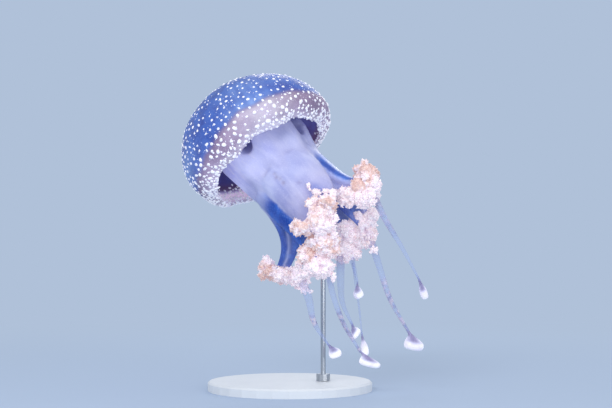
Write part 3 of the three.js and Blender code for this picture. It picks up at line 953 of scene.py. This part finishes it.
# %% [markdown]
# ## The jelly's finish
# Jelly is see-through, but so thick that the dome looks solid blue. Its colour runs from deep blue
# through light blue to milky lavender and pink, by the masks. Where it is clear, its alpha drops, so
# whatever lies behind shows. The surface is wet, so it has a soft gloss and faint ripples. Light is
# painted in as well: a lighter blue where light shows through, and a glow of the colour itself where
# places lie in shade.

# %% Jelly colours
BLACK = (0, 0, 0)


def streaks(tree, place, across, along):
    """A cloud drawn out along the column."""
    axis = Vector(TURN @ CROWN_UP).normalized()
    side = axis.cross(Vector((0, 1, 0))).normalized()
    ways = ((side, across), (axis.cross(side), across), (axis, along))
    parts = [vector_math(tree, "DOT_PRODUCT", place, way / size) for way, size in ways]
    drawn = add_node(tree, "ShaderNodeCombineXYZ", dict(enumerate(parts))).outputs[0]
    return cloud(tree, drawn, 1.0, 3.0, warp=0.7)


def jelly_colour(tree, mottle, speckle, broad, strands):
    """Blue below, then milk, pink and the rest, each laid over the last by its mask."""
    blue = layered(
        tree,
        blend_colours(tree, mottle, (24, 72, 172), (48, 106, 206)),
        (times(tree, speckle, 0.25), (130, 160, 236)),
        # Painted light: a lighter blue where light shows through the jelly.
        ("glow", (142, 180, 246)),
    )
    milky = layered(
        tree,
        blend_colours(tree, ramped(tree, broad, 0.35, 0.65), (162, 166, 218), (192, 196, 236)),
        (times(tree, strands, 0.45), (210, 212, 242)),
        (times(tree, speckle, 0.22), (222, 224, 246)),
    )
    pinkish = layered(
        tree,
        blend_colours(tree, ramped(tree, broad, 0.3, 0.7), (140, 119, 150), (184, 162, 192)),
        (times(tree, speckle, 0.3), (228, 214, 230)),
    )
    return layered(
        tree,
        blue,
        (times(tree, mask_of(tree, "milk"), ramped(tree, strands, 0, 1, 0.94, 1.03)), milky),
        ("pink", pinkish),
        ("warm", (118, 94, 132)),
        ("rim", (206, 214, 250)),
        ("white", blend_colours(tree, mottle, (222, 218, 236), (246, 245, 251))),
    )


# %% Jelly material
def make_jelly():
    made, tree, shader, place = new_material("wet_jelly")
    mottle, speckle = grain(tree, place, 11 * MM, 1.7 * MM)
    broad = cloud(tree, place, 34 * MM, 2.0)
    strands = ramped(tree, streaks(tree, place, 8 * MM, 26 * MM), 0.3, 0.72)
    colour = jelly_colour(tree, mottle, speckle, broad, strands)
    ripples = cloud(tree, place, 3.2 * MM, 3.0)
    height = calculate(tree, "ADD", times(tree, ripples, 0.6), times(tree, speckle, 0.3))
    feed(tree, shader, {
        "Base Color": colour,
        "Alpha": calculate(tree, "SUBTRACT", 1.0, times(tree, mask_of(tree, "clear"), 0.85)),
        # Painted light: an emission of the colour itself, by this mask, lifts places in shade.
        "Emission Color": blend_colours(tree, "lit", BLACK, colour),
        "Emission Strength": 1.0,
        "Roughness": ramped(tree, mottle, 0, 1, 0.32, 0.48),
        "Normal": bumped(tree, height, 0.25, 0.5 * MM),
        "Specular IOR Level": 0.3,
    })
    return made


JELLY = make_jelly()
print("jelly", len(JELLY.node_tree.nodes), "nodes")

# %% Dress the skin
skin.data.materials.append(JELLY)
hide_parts(*FLESH_NODES)
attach(skin, "root")
print("skin stands for", len(FLESH_NODES), "nodes")

# %% [markdown]
# ## Scattering small things
# Spots, beads, specks and lobes repeat by the hundred. One Geometry Nodes tree does it: it
# strews points over the faces where a mask allows, sets a small shape on each, turned to the surface,
# wobbles the result a little and makes it real. Each shape keeps the place of its root on the
# surface's own unwrap, from which its bake map is made.

# %% The scatter tree
LEAST_STRETCH, MOST_STRETCH = (0.8, 0.75, 0.9), (1.45, 1.15, 1.1)


def turned(tree, entry, rotation):
    """Each shape's own turn: any way round, and leaning a little."""
    lean = {"X": entry["Tilt"], "Y": entry["Tilt"], "Z": 2 * math.pi}
    high = add_node(tree, "ShaderNodeCombineXYZ", lean).outputs[0]
    low = vector_math(tree, "MULTIPLY", high, (-1, -1, 0))
    inputs = {0: low, 1: high, "Seed": entry["Seed"]}
    spin = add_node(tree, "FunctionNodeRandomValue", inputs, data_type="FLOAT_VECTOR").outputs[0]
    spin = add_node(tree, "FunctionNodeEulerToRotation", {0: spin}).outputs[0]
    inputs = {0: rotation, 1: spin}
    return add_node(tree, "FunctionNodeRotateRotation", inputs, rotation_space="LOCAL").outputs[0]


def grown(tree, entry, swell):
    """Each shape's own size, stretched a little more one way than another."""
    inputs = {2: entry["Smallest"], 3: entry["Largest"], "Seed": entry["Seed"]}
    size = add_node(tree, "FunctionNodeRandomValue", inputs, data_type="FLOAT").outputs[1]
    inputs = {0: LEAST_STRETCH, 1: MOST_STRETCH, "Seed": entry["Seed"]}
    uneven = add_node(tree, "FunctionNodeRandomValue", inputs, data_type="FLOAT_VECTOR").outputs[0]
    return vector_math(tree, "SCALE", uneven, times(tree, size, swell))


def scattered(tree):
    """The scatter itself, from the group's inputs to the finished pieces."""
    entry = add_node(tree, "NodeGroupInput").outputs
    strewn_mask, swell = (
        add_node(tree, "GeometryNodeInputNamedAttribute", {"Name": name}, data_type="FLOAT").outputs[0]
        for name in ("strew", "swell")
    )
    inputs = {"Mesh": entry["Surface"], "Distance Min": entry["Spacing"], "Density Max": entry["Most"]}
    inputs.update({"Density Factor": strewn_mask, "Seed": entry["Seed"]})
    strewn = add_node(tree, "GeometryNodeDistributePointsOnFaces", inputs, distribute_method="POISSON")
    shape = add_node(tree, "GeometryNodeObjectInfo", {"Object": entry["Shape"]})
    inputs = {"Points": strewn.outputs["Points"], "Instance": shape.outputs["Geometry"]}
    inputs["Rotation"] = turned(tree, entry, strewn.outputs["Rotation"])
    inputs["Scale"] = grown(tree, entry, swell)
    pieces = add_node(tree, "GeometryNodeInstanceOnPoints", inputs).outputs[0]
    inputs = {"Scale": entry["Grain"], "Detail": 1.0}
    inputs["Vector"] = add_node(tree, "GeometryNodeInputPosition").outputs[0]
    shake = add_node(tree, "ShaderNodeTexNoise", inputs).outputs["Color"]
    centred = vector_math(tree, "SUBTRACT", shake, (0.5, 0.5, 0.5))
    moved = vector_math(tree, "SCALE", centred, entry["Wobble"])
    for kind, inputs in (
        ("GeometryNodeRealizeInstances", {}),
        ("GeometryNodeSetPosition", {"Offset": moved}),
        ("GeometryNodeSetShadeSmooth", {}),
        ("GeometryNodeSetMaterial", {"Material": entry["Finish"]}),
    ):
        pieces = add_node(tree, kind, {"Geometry": pieces, **inputs}).outputs[0]
    return pieces


def make_scatter():
    tree = bpy.data.node_groups.new("strew", "GeometryNodeTree")
    tree.interface.new_socket("Surface", in_out="INPUT", socket_type="NodeSocketGeometry")
    sockets = {}
    for name, kind in (
        ("Shape", "NodeSocketObject"),
        ("Finish", "NodeSocketMaterial"),
        ("Spacing", "NodeSocketFloat"),
        ("Most", "NodeSocketFloat"),
        ("Smallest", "NodeSocketFloat"),
        ("Largest", "NodeSocketFloat"),
        ("Tilt", "NodeSocketFloat"),
        ("Wobble", "NodeSocketFloat"),
        ("Grain", "NodeSocketFloat"),
        ("Seed", "NodeSocketInt"),
    ):
        sockets[name] = tree.interface.new_socket(name, in_out="INPUT", socket_type=kind).identifier
    tree.interface.new_socket("Pieces", in_out="OUTPUT", socket_type="NodeSocketGeometry")
    tree.links.new(scattered(tree), add_node(tree, "NodeGroupOutput").inputs[0])
    return tree, sockets


STREW, STREW_SOCKETS = make_scatter()
print("scatter tree", len(STREW.nodes), "nodes")


# %% Strewing and its bake map
PATCH = 0.003  # how much of the unwrap one shape takes up


def strew(name, surface, **inputs):
    """Scatters a shape over a surface, and returns the result as a plain object."""
    made = bpy.data.objects.new(name, surface.data)
    bpy.context.scene.collection.objects.link(made)
    modifier = made.modifiers.new("strew", "NODES")
    modifier.node_group = STREW
    for key, value in inputs.items():
        modifier[STREW_SOCKETS[key]] = value
    applied(made)
    write_bake_map(made)
    return made


def write_bake_map(made):
    """The bake map: a small patch for each shape, at its root's place on the surface's unwrap."""
    mesh = made.data
    root, patch = (rows_of(mesh.attributes[name].data, "vector", 3)[:, :2] for name in ("root", "patch"))
    spot = root + PATCH * patch
    corners = rows_of(mesh.loops, "vertex_index", 1, np.int64)[:, 0]
    layer = mesh.uv_layers.new(name="OFBake")
    layer.data.foreach_set("uv", spot[corners].ravel().astype(np.float32))


def vector_mask(made, name, values):
    layer = made.data.attributes.new(name, "FLOAT_VECTOR", "POINT")
    layer.data.foreach_set("vector", np.asarray(values, dtype=np.float32).ravel())


# %% [markdown]
# ## The white spots
# The spots are low warts of opaque white. Over the dome they are small and scattered; towards the
# margin they crowd together and grow, and on the lappets they almost touch. The scatter reads both
# from masks on a copy of the bell.

# %% Small shapes to strew
def make_wart(name, rings=3, sides=8, height=0.5):
    """A low dome of one unit's radius, a few dozen faces."""
    points = [(0, 0, height)]
    for i in range(1, rings + 1):
        angle = i / rings * math.pi / 2
        for j in range(sides):
            turn = j / sides * 2 * math.pi
            reach = math.sin(angle)
            points.append((reach * math.cos(turn), reach * math.sin(turn), height * math.cos(angle)))
    points += [(p[0] * 0.8, p[1] * 0.8, -0.25) for p in points[-sides:]]
    points.append((0, 0, -0.3))
    faces = [(0, 1 + j, 1 + (j + 1) % sides) for j in range(sides)]
    for i in range(rings):
        a, b = 1 + i * sides, 1 + (i + 1) * sides
        faces += [(a + j, b + j, b + (j + 1) % sides, a + (j + 1) % sides) for j in range(sides)]
    last = 1 + rings * sides
    end = len(points) - 1
    faces += [(end, last + (j + 1) % sides, last + j) for j in range(sides)]
    made = make_mesh(name, points, faces)
    vector_mask(made, "patch", [(0.5 * p[0] + 0.5, 0.5 * p[1] + 0.5, 0) for p in points])
    return made


WART = make_wart("wart")
print("wart", len(WART.data.polygons), "faces")


# %% Spots material
def make_spot_finish():
    made, tree, shader, place = new_material("white_spots")
    mottle, speckle = grain(tree, place, 2.5 * MM, 0.6 * MM)
    colour = blend_colours(tree, mottle, (232, 232, 246), (252, 252, 254))
    feed(tree, shader, {
        "Base Color": colour,
        # Painted light: the spots glow a little with their own colour, so that those in shade still look
        # white.
        "Emission Color": colour,
        "Emission Strength": 0.17,
        "Roughness": ramped(tree, mottle, 0, 1, 0.45, 0.3),
        "Normal": bumped(tree, speckle, 0.3, 0.2 * MM),
    })
    return made


SPOT = make_spot_finish()
print("spot finish", len(SPOT.node_tree.nodes), "nodes")


# %% Scatter the spots
SPOT_GRAIN = 700.0


def bell_surface(name, strewn, swell):
    """A copy of the bell, with masks for where spots lie and how large they grow."""
    made = make_mesh(name, placed(bell_points), bell_faces, {"strew": strewn, "swell": swell})
    height, azimuth = bell_round["height"], bell_round["azimuth"]
    out = 0.46 * (1 - height / DOME_HEIGHT) / (1 + BAND_DEPTH / DOME_HEIGHT)
    root = [0.5 + out * np.cos(azimuth), 0.5 + out * np.sin(azimuth), 0 * out]
    vector_mask(made, "root", np.stack(root, axis=1))
    return made


def strew_spots(name, strewn, swell, **inputs):
    surface = bell_surface(f"{name}_ground", strewn, swell)
    made = strew(name, surface, Shape=WART, Finish=SPOT, Grain=SPOT_GRAIN, **inputs)
    bpy.data.objects.remove(surface)
    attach(made, "root")
    print(name, len(made.data.polygons) // len(WART.data.polygons))
    return made


# %% The three kinds of spot
inside, height = bell_round["inside"], bell_round["height"]
outer = 1 - inside
below_crown = DOME_HEIGHT * 0.9
lowness = soft_step(below_crown - height, 0, below_crown + BAND_DEPTH)
band = soft_step(-height, -0.25 * BAND_DEPTH, 0.6 * BAND_DEPTH)
clean = 0.52 * close_to(bell_round["azimuth"], 1.5, 0.6)  # the near side's band stays open
start, full = 0.3 + clean - 0.6 * inside, 0.98 - 0.6 * inside
margin = soft_step(-height, start * BAND_DEPTH, full * BAND_DEPTH)
strew_spots(
    "bell_spots", outer * (0.62 + 0.38 * lowness) * (1 - 0.4 * margin), 1 + 0.5 * band,
    Spacing=4.6 * MM, Most=90000.0, Smallest=0.78 * MM, Largest=1.4 * MM,
    Tilt=0.2, Wobble=1.1 * MM, Seed=7,
)
beads = np.clip(margin**1.6 * (1 - 0.7 * clean) + 0.07 * band, 0, 1)
strew_spots(
    "margin_beads", beads, 0.8 + 0.35 * margin - 0.3 * clean,
    Spacing=2.3 * MM, Most=230000.0, Smallest=0.8 * MM, Largest=1.5 * MM,
    Tilt=0.3, Wobble=1.0 * MM, Seed=4,
)
strew_spots(
    "bell_specks", outer * (0.35 + 0.4 * lowness), np.ones(len(height)),
    Spacing=1.9 * MM, Most=60000.0, Smallest=0.22 * MM, Largest=0.45 * MM,
    Tilt=0.1, Wobble=0.2 * MM, Seed=12,
)

# %% [markdown]
# ## The frills
# Each mouth arm ends in a mass of crumpled frill, like the head of a cauliflower. A few lumps give each
# mass its own shape. They are melted together, and then pushed out and in by rounded cells of three
# sizes, which gives billows with creases between them. The depth of the creases is kept as a mask for
# the painted shade that darkens them, and so is how peach-coloured each lump is.

# %% Where the lumps lie
LUMPS = [  # for each arm: offset and half sizes, as right, away and up, and how peach it is
    [((5, 2, 3), (11, 14, 14), 0.75), ((4, 0, -13), (13, 14, 11), 0.15), ((-12, -2, -13), (10, 10, 9), 0.35)],
    [((5, -3, 3), (8, 11, 8), 0.75), ((-6.5, -3, 1.5), (7.5, 9, 6.6), 0.55), ((-1, 1, -4), (12, 12, 8), 0.5)],
    [((-5, 1, 3), (11, 12, 8), 0.7), ((11, 3, 4), (11, 13, 9), 0.3), ((3, 0, 8), (9, 11, 8), 0.5)],
    [((6, -2, 16), (13, 14, 10), 0.75), ((-6, 2, 5), (9, 12, 9), 0.65), ((14, -2, 13), (9, 12, 11), 0.6),
     ((4, 2, -5), (14, 15, 10), 0.15)],
    [((-11, 2, 2), (8, 12, 8.5), 0.8), ((3, 0, -1), (11, 16, 8.5), 0.4),
     ((16, -4, -2.5), (8.5, 13, 10), 0.1)],
    [((12, -6, 19), (9, 12, 10), 0.2), ((10, -2, 3), (10, 13, 11), 0.0), ((1, -4, 4), (8, 10, 8), 0.1)],
    [((7, 3, 3), (11, 13, 11), 0.2), ((2, 5, -8), (7, 10, 9), 0.0)],
    [((1, 0, 5), (10, 12, 10), 0.15), ((-2, 2, -9), (10, 13, 10), 0.35)],
]
TASSELS = [  # small crinkled bits at the edges of the masses, in the same way
    [((2.5, 2, 14.5), (4, 5, 3.4), 0.9), ((-3, 2, 11), (3.4, 5, 4), 0.7),
     ((-2, -4, -5), (7.4, 8, 7), 0.8), ((12, -4, -4), (5, 8, 8), 0.1)],
    [((-11.6, 9, 18), (1.9, 1.6, 1.5), 0), ((-10.8, 8, 15.8), (1.1, 1.5, 1.2), 0),
     ((-9.8, 7, 13.8), (2.2, 2, 1.5), 0), ((-7.6, 6, 12), (1.6, 2, 1.8), 0),
     ((-5, 5, 11), (1.8, 2.4, 1.6), 0.2), ((-2.6, 3, 11), (2.2, 3, 1.6), 0.2),
     ((4, 3, 12.6), (2.6, 3.4, 2), 0), ((6.4, 2.6, 13.8), (1.9, 3.4, 1.8), 0),
     ((9, -2, 12), (2, 3, 3.2), 0.3)],
    [((20.5, 2, 11), (3.4, 5, 5), 0.2), ((19, 2, 4), (4, 5, 4), 0.1), ((21, 3, -3), (3, 4, 4), 0)],
    [((7.4, -3, 8), (4.4, 5, 4), 0.2), ((16.3, 0, -13.5), (1.8, 2.4, 4.8), 0),
     ((-12.6, 1, -3), (4, 3.6, 2.6), 0.3), ((-10, 2, -12), (3.4, 4, 2.2), 0.2)],
    [((20, -8, -12), (2.4, 3, 4.4), 0), ((24.6, -9, -9), (1.8, 2.4, 5), 0),
     ((26.6, -8, -14.8), (2.6, 2.4, 1.8), 0), ((-12, 0, 12.6), (1.8, 2.4, 3), 0.2),
     ((-14.8, 0, 9), (2.6, 3, 2), 0.4), ((-8, 0, 9.6), (2.6, 3, 2), 0)],
    [((5, -12, 25), (3, 3, 2.4), 0), ((10, -13, 27), (2.6, 3, 2.6), 0), ((15, -13, 26), (3, 3, 3), 0)],
    [((-4, -8, 13), (4.4, 4, 3), 0), ((1, -8, 16), (3.8, 4, 4), 0), ((-9, -8, 12), (3.4, 4, 2.4), 0)],
    [((4.5, -5, -23), (3.4, 2.4, 2.6), 0), ((-9.5, -7, 6.5), (5.4, 4, 5.4), 0),
     ((-4, -7, -1), (5, 4, 4.4), 0.2)],
]
FRILL_DEPTH = 1.3  # the crumples stand this far out of the lumps, in millimetres
TASSEL_CRUMPLE = 0.75  # tassels are crumpled less deeply
FRILL_VOXEL = 0.52 * MM
CRUMPLES = [(7, 0, 0.58, 3.7), (3.1, 20, 0.45, 1.7), (1.5, 40, 0.5, 0.8)]  # size, seed, level, depth
print("lumps", sum(map(len, LUMPS)), "and tassels", sum(map(len, TASSELS)))


# %% Frill shapes
def billows(points, size, seed):
    """Rounded lumps with creases between, from 0 in a crease to 1 on a crown."""
    shift = Vector((seed * 7.3, seed * 3.1, seed * 5.7))
    nearest = np.array([noise.voronoi(Vector(p) / size + shift)[0][0] for p in points])
    return np.clip(1 - nearest**2 * 1.6, 0, 1)


def ball(level):
    bpy.ops.mesh.primitive_ico_sphere_add(subdivisions=level, radius=1)
    made = bpy.context.object
    points = points_of(made.data)
    faces = [tuple(face.vertices) for face in made.data.polygons]
    bpy.data.objects.remove(made)
    return points, faces


BALL_POINTS, BALL_FACES = ball(4)


def normals_of(mesh):
    return rows_of(mesh.vertex_normals, "vector", 3)


def frill_lumps(k):
    """The lumps and tassels of one mass, melted into one, with its masks."""
    centre = placed(mass_centre(k))
    points, faces, peach, crumple = [], [], [], []
    bits = [(place, np.array(half) - FRILL_DEPTH, share, 1.0) for place, half, share in LUMPS[k]]
    bits += [(place, np.array(half), share, TASSEL_CRUMPLE) for place, half, share in TASSELS[k]]
    for place, half, share, depth in bits:
        base = len(points) * len(BALL_POINTS)
        points.append(centre + np.array(place) * MM + BALL_POINTS * half * MM)
        faces += [[i + base for i in face] for face in BALL_FACES]
        peach.append(np.full(len(BALL_POINTS), share))
        crumple.append(np.full(len(BALL_POINTS), depth))
    points = np.vstack(points)
    made = melt(f"frill_{k + 1}", points, faces, FRILL_VOXEL)
    masks = {"peach": np.concatenate(peach), "crumple": np.concatenate(crumple)}
    return made, carry_masks(masks, points, points_of(made.data))


# %% Crumple the frills
def bake_root(points, k):
    """Each point's place on the unwrap: its direction from the middle, in one of nine tiles."""
    x, y, z = unit(points - points.mean(0)).T
    column, row = k % 3, k // 3
    around = (np.arctan2(y, x) / (2 * np.pi) + 0.5) * 0.3 + 0.017 + column / 3
    level = np.arccos(np.clip(z, -1, 1)) / np.pi * 0.3 + 0.017 + row / 3
    return np.stack([around, level, 0 * level], axis=1)


def build_frill(k):
    made, kept = frill_lumps(k)
    mesh = made.data
    edges = edges_of(mesh)
    peach = evened(kept["peach"], edges, 36)
    crumple = evened(kept["crumple"], edges, 6)[:, None]
    set_points(mesh, evened(points_of(mesh), edges, 6))
    points = points_of(mesh)
    normal = normals_of(mesh)
    waves = []
    for size, seed, level, depth in CRUMPLES:
        wave = billows(points, size * MM, k + seed)
        strength = crumple if len(waves) < 2 else 1  # the finest crumples are alike everywhere
        points = points + strength * normal * (wave[:, None] - level) * depth * MM
        waves.append(wave)
    set_points(mesh, points)
    coarse, middle, fine = waves
    # How deep in a crease each point lies. The finish darkens the creases by it, as painted shade.
    add_mask(mesh, "crease", np.clip(1 - (0.45 * coarse + 0.35 * middle + 0.3 * fine) * 1.15, 0, 1))
    add_mask(mesh, "peach", peach)
    add_mask(mesh, "strew", 0.3 + 0.7 * coarse)
    add_mask(mesh, "swell", 0.4 + 0.6 * crumple[:, 0])
    vector_mask(made, "root", bake_root(points, k))
    return smooth_shaded(made)


frills = [build_frill(k) for k in range(len(ARMS))]
print("frills", [len(frill.data.polygons) for frill in frills], "faces")


# %% [markdown]
# ## The frills' finish
# The crowns of the billows are white with a breath of pink, and patches of peach lie between them. The
# creases are darkened to mauve as painted shade, and the frill glows faintly with its own colour as
# painted light. The surface is soft and fleshy rather than glossy.

# %% Frill material
def make_frill_finish():
    made, tree, shader, place = new_material("crumpled_frill")
    mottle, speckle = grain(tree, place, 4 * MM, 0.9 * MM)
    drift = ramped(tree, cloud(tree, place, 8 * MM, 3.0, warp=0.6), 0.34, 0.62)
    patch = ramped(tree, times(tree, mask_of(tree, "peach"), drift), 0.12, 0.7)
    peach = blend_colours(tree, mottle, (210, 172, 164), (230, 200, 192))
    # Painted shade: the creases are darkened to mauve.
    crease = ramped(tree, mask_of(tree, "crease"), 0.42, 0.92)
    colour = layered(
        tree,
        blend_colours(tree, mottle, (237, 221, 230), (249, 241, 244)),
        (times(tree, patch, 0.9), peach),
        (times(tree, crease, 0.75), (182, 152, 180)),
    )
    feed(tree, shader, {
        "Base Color": colour,
        # Painted light: the frill glows a little with its own colour, which lifts its shaded side.
        "Emission Color": colour,
        "Emission Strength": 0.19,
        "Roughness": ramped(tree, speckle, 0, 1, 0.62, 0.48),
        "Normal": bumped(tree, speckle, 0.5, 0.3 * MM),
    })
    return made


FRILL = make_frill_finish()
print("frill finish", len(FRILL.node_tree.nodes), "nodes")


# %% The lacy lobes
def make_lobe(name, rings=3, sides=7):
    """A small crinkled cup of leaf, thin and closed."""
    points = []
    for inner in (0, 1):
        for i in range(1, rings + 1):
            share = i / rings
            for j in range(sides):
                turn = j / sides * 2 * math.pi
                reach = share * (1 + 0.25 * math.sin(3 * turn)) * (0.9 if inner else 1)
                rise = 0.75 * share**2 + (0.12 if inner else 0) + 0.2 * share * math.cos(2 * turn)
                points.append((reach * math.cos(turn), reach * math.sin(turn), rise))
    points += [(0, 0, -0.15), (0, 0, 0.1)]
    half = rings * sides
    faces = []
    for i in range(rings - 1):
        for j in range(sides):
            k = (j + 1) % sides
            a, b = i * sides, (i + 1) * sides
            faces.append((a + j, b + j, b + k, a + k)[::-1])
            faces.append((half + a + j, half + b + j, half + b + k, half + a + k))
    for j in range(sides):
        k = (j + 1) % sides
        edge = (rings - 1) * sides
        faces.append((2 * half, k, j))
        faces.append((2 * half + 1, half + j, half + k))
        faces.append((edge + j, edge + k, half + edge + k, half + edge + j))
    made = make_mesh(name, points, faces)
    vector_mask(made, "patch", [(0.4 * p[0] + 0.5, 0.4 * p[1] + 0.5, 0) for p in points])
    return made


LOBE = make_lobe("lobe")
print("lobe", len(LOBE.data.polygons), "faces")

# %% Lace the frills
laces = []
for k, frill in enumerate(frills):
    frill.data.materials.append(FRILL)
    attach(frill, "root")
    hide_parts(f"arm_frill_{k + 1}")
    lace = strew(
        f"frill_lobes_{k + 1}", frill, Shape=LOBE, Finish=FRILL,
        Spacing=1.7 * MM, Most=300000.0, Smallest=0.7 * MM, Largest=1.5 * MM,
        Tilt=0.7, Wobble=0.8 * MM, Grain=650.0, Seed=11 + k,
    )
    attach(lace, "root")
    laces.append(lace)
for shape in (WART, LOBE):
    bpy.data.objects.remove(shape)
print("lobes", sum(len(lace.data.polygons) for lace in laces), "faces")

# %% [markdown]
# ## The stand
# The animal swims, so a plain stand holds it: a satin acrylic disc and a brushed steel rod up into
# the arm disc. Their solids already have the right shape and stay; only their finish is new. A polished
# disc would throw the big lamp back as one white patch when seen from behind.

# %% Stand materials
BRUSHING = (60, 60, 6000)  # fine rings round the rod


def make_acrylic():
    made, tree, shader, place = new_material("pale_acrylic")
    haze = cloud(tree, place, 30 * MM, 2.0)
    scuffs = cloud(tree, place, 1.2 * MM, 4.0)
    feed(tree, shader, {
        "Base Color": blend_colours(tree, haze, (214, 219, 226), (226, 230, 235)),
        "Roughness": ramped(tree, scuffs, 0.4, 0.7, 0.4, 0.52),
        "Specular IOR Level": 0.25,
    })
    return made


def make_steel():
    made, tree, shader, place = new_material("brushed_steel")
    stretched = add_node(tree, "ShaderNodeMapping", {"Vector": place, "Scale": BRUSHING}).outputs[0]
    brush = cloud(tree, stretched, 1.0, 3.0, 0.5)
    feed(tree, shader, {
        "Base Color": blend_colours(tree, brush, (168, 171, 176), (196, 199, 203)),
        "Roughness": ramped(tree, brush, 0.3, 0.7, 0.28, 0.42),
        "Metallic": 1.0,
    })
    return made


for node, finish in (("stand_base", make_acrylic()), ("stand_rod", make_steel())):
    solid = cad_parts[node]
    solid.data.materials.clear()
    solid.data.materials.append(finish)
print("stand finished")

# %% [markdown]
# ## Floor and light
# A plain pale blue-grey floor runs off into a background of the same colour. A large soft lamp from the
# upper left, a weaker one from the right, a faint one from behind and the even light of the room show
# each colour about as it is written. The lamps are kept low enough that few white spots clip.

# %% Floor
PALE = linear(176, 193, 217)
FLOOR_HALF = 12.0


def sees_backdrop(tree):
    """1 for the rays that look at the background: the camera's, and those off metal or through glass."""
    rays = add_node(tree, "ShaderNodeLightPath").outputs
    shiny = calculate(tree, "MAXIMUM", rays["Is Glossy Ray"], rays["Is Transmission Ray"])
    return calculate(tree, "MAXIMUM", rays["Is Camera Ray"], shiny)


def make_floor():
    corners = [(-1, -1), (1, -1), (1, 1), (-1, 1)]
    floor = make_mesh("floor", [(x * FLOOR_HALF, y * FLOOR_HALF, 0) for x, y in corners], [(0, 1, 2, 3)])
    made, tree, shader, place = new_material("pale_floor")
    feed(tree, shader, {"Base Color": PALE, "Roughness": 0.9, "Specular IOR Level": 0.1})
    glow = add_node(tree, "ShaderNodeEmission", {"Color": PALE, "Strength": 1.0})
    far = ramped(tree, vector_math(tree, "LENGTH", place), 0.25, 0.9)
    share = times(tree, far, sees_backdrop(tree))
    mixed = add_node(tree, "ShaderNodeMixShader", {0: share, 1: shader.outputs[0], 2: glow.outputs[0]})
    output = next(n for n in tree.nodes if n.bl_idname == "ShaderNodeOutputMaterial")
    tree.links.new(mixed.outputs[0], output.inputs[0])
    floor.data.materials.append(made)
    return floor


make_floor()
print("floor", 2 * FLOOR_HALF, "m across")

# %% World and lamps
world = bpy.data.worlds.new("studio")
bpy.context.scene.world = world
world.use_nodes = True
sky = world.node_tree
sky.nodes.clear()
room = add_node(sky, "ShaderNodeBackground", {"Color": (0.93, 0.96, 1.0, 1), "Strength": 0.72})
backdrop = add_node(sky, "ShaderNodeBackground", {"Color": PALE, "Strength": 1.0})
sides = {0: sees_backdrop(sky), 1: room.outputs[0], 2: backdrop.outputs[0]}
choice = add_node(sky, "ShaderNodeMixShader", sides)
sky_out = add_node(sky, "ShaderNodeOutputWorld")
sky.links.new(choice.outputs[0], sky_out.inputs[0])


LAMP_AIM = Vector((0.02, 0, 0.17))
LAMPS = [  # name, place, size in metres and power in watts
    ("key_lamp", (-0.55, -1.3, 0.95), 0.9, 9.8),
    ("fill_lamp", (0.9, -1.3, 0.3), 1.0, 7),
    ("back_lamp", (0.2, 1.2, 0.9), 0.8, 4),
]
for name, place, size, power in LAMPS:
    lamp = bpy.data.lights.new(name, "AREA")
    lamp.shape = "DISK"
    lamp.size = size
    lamp.energy = power
    made = bpy.data.objects.new(name, lamp)
    made.location = place
    made.rotation_euler = (LAMP_AIM - Vector(place)).to_track_quat("-Z", "Y").to_euler()
    bpy.context.scene.collection.objects.link(made)
bpy.context.scene.view_settings.view_transform = "Standard"
print("lamps and world ready")
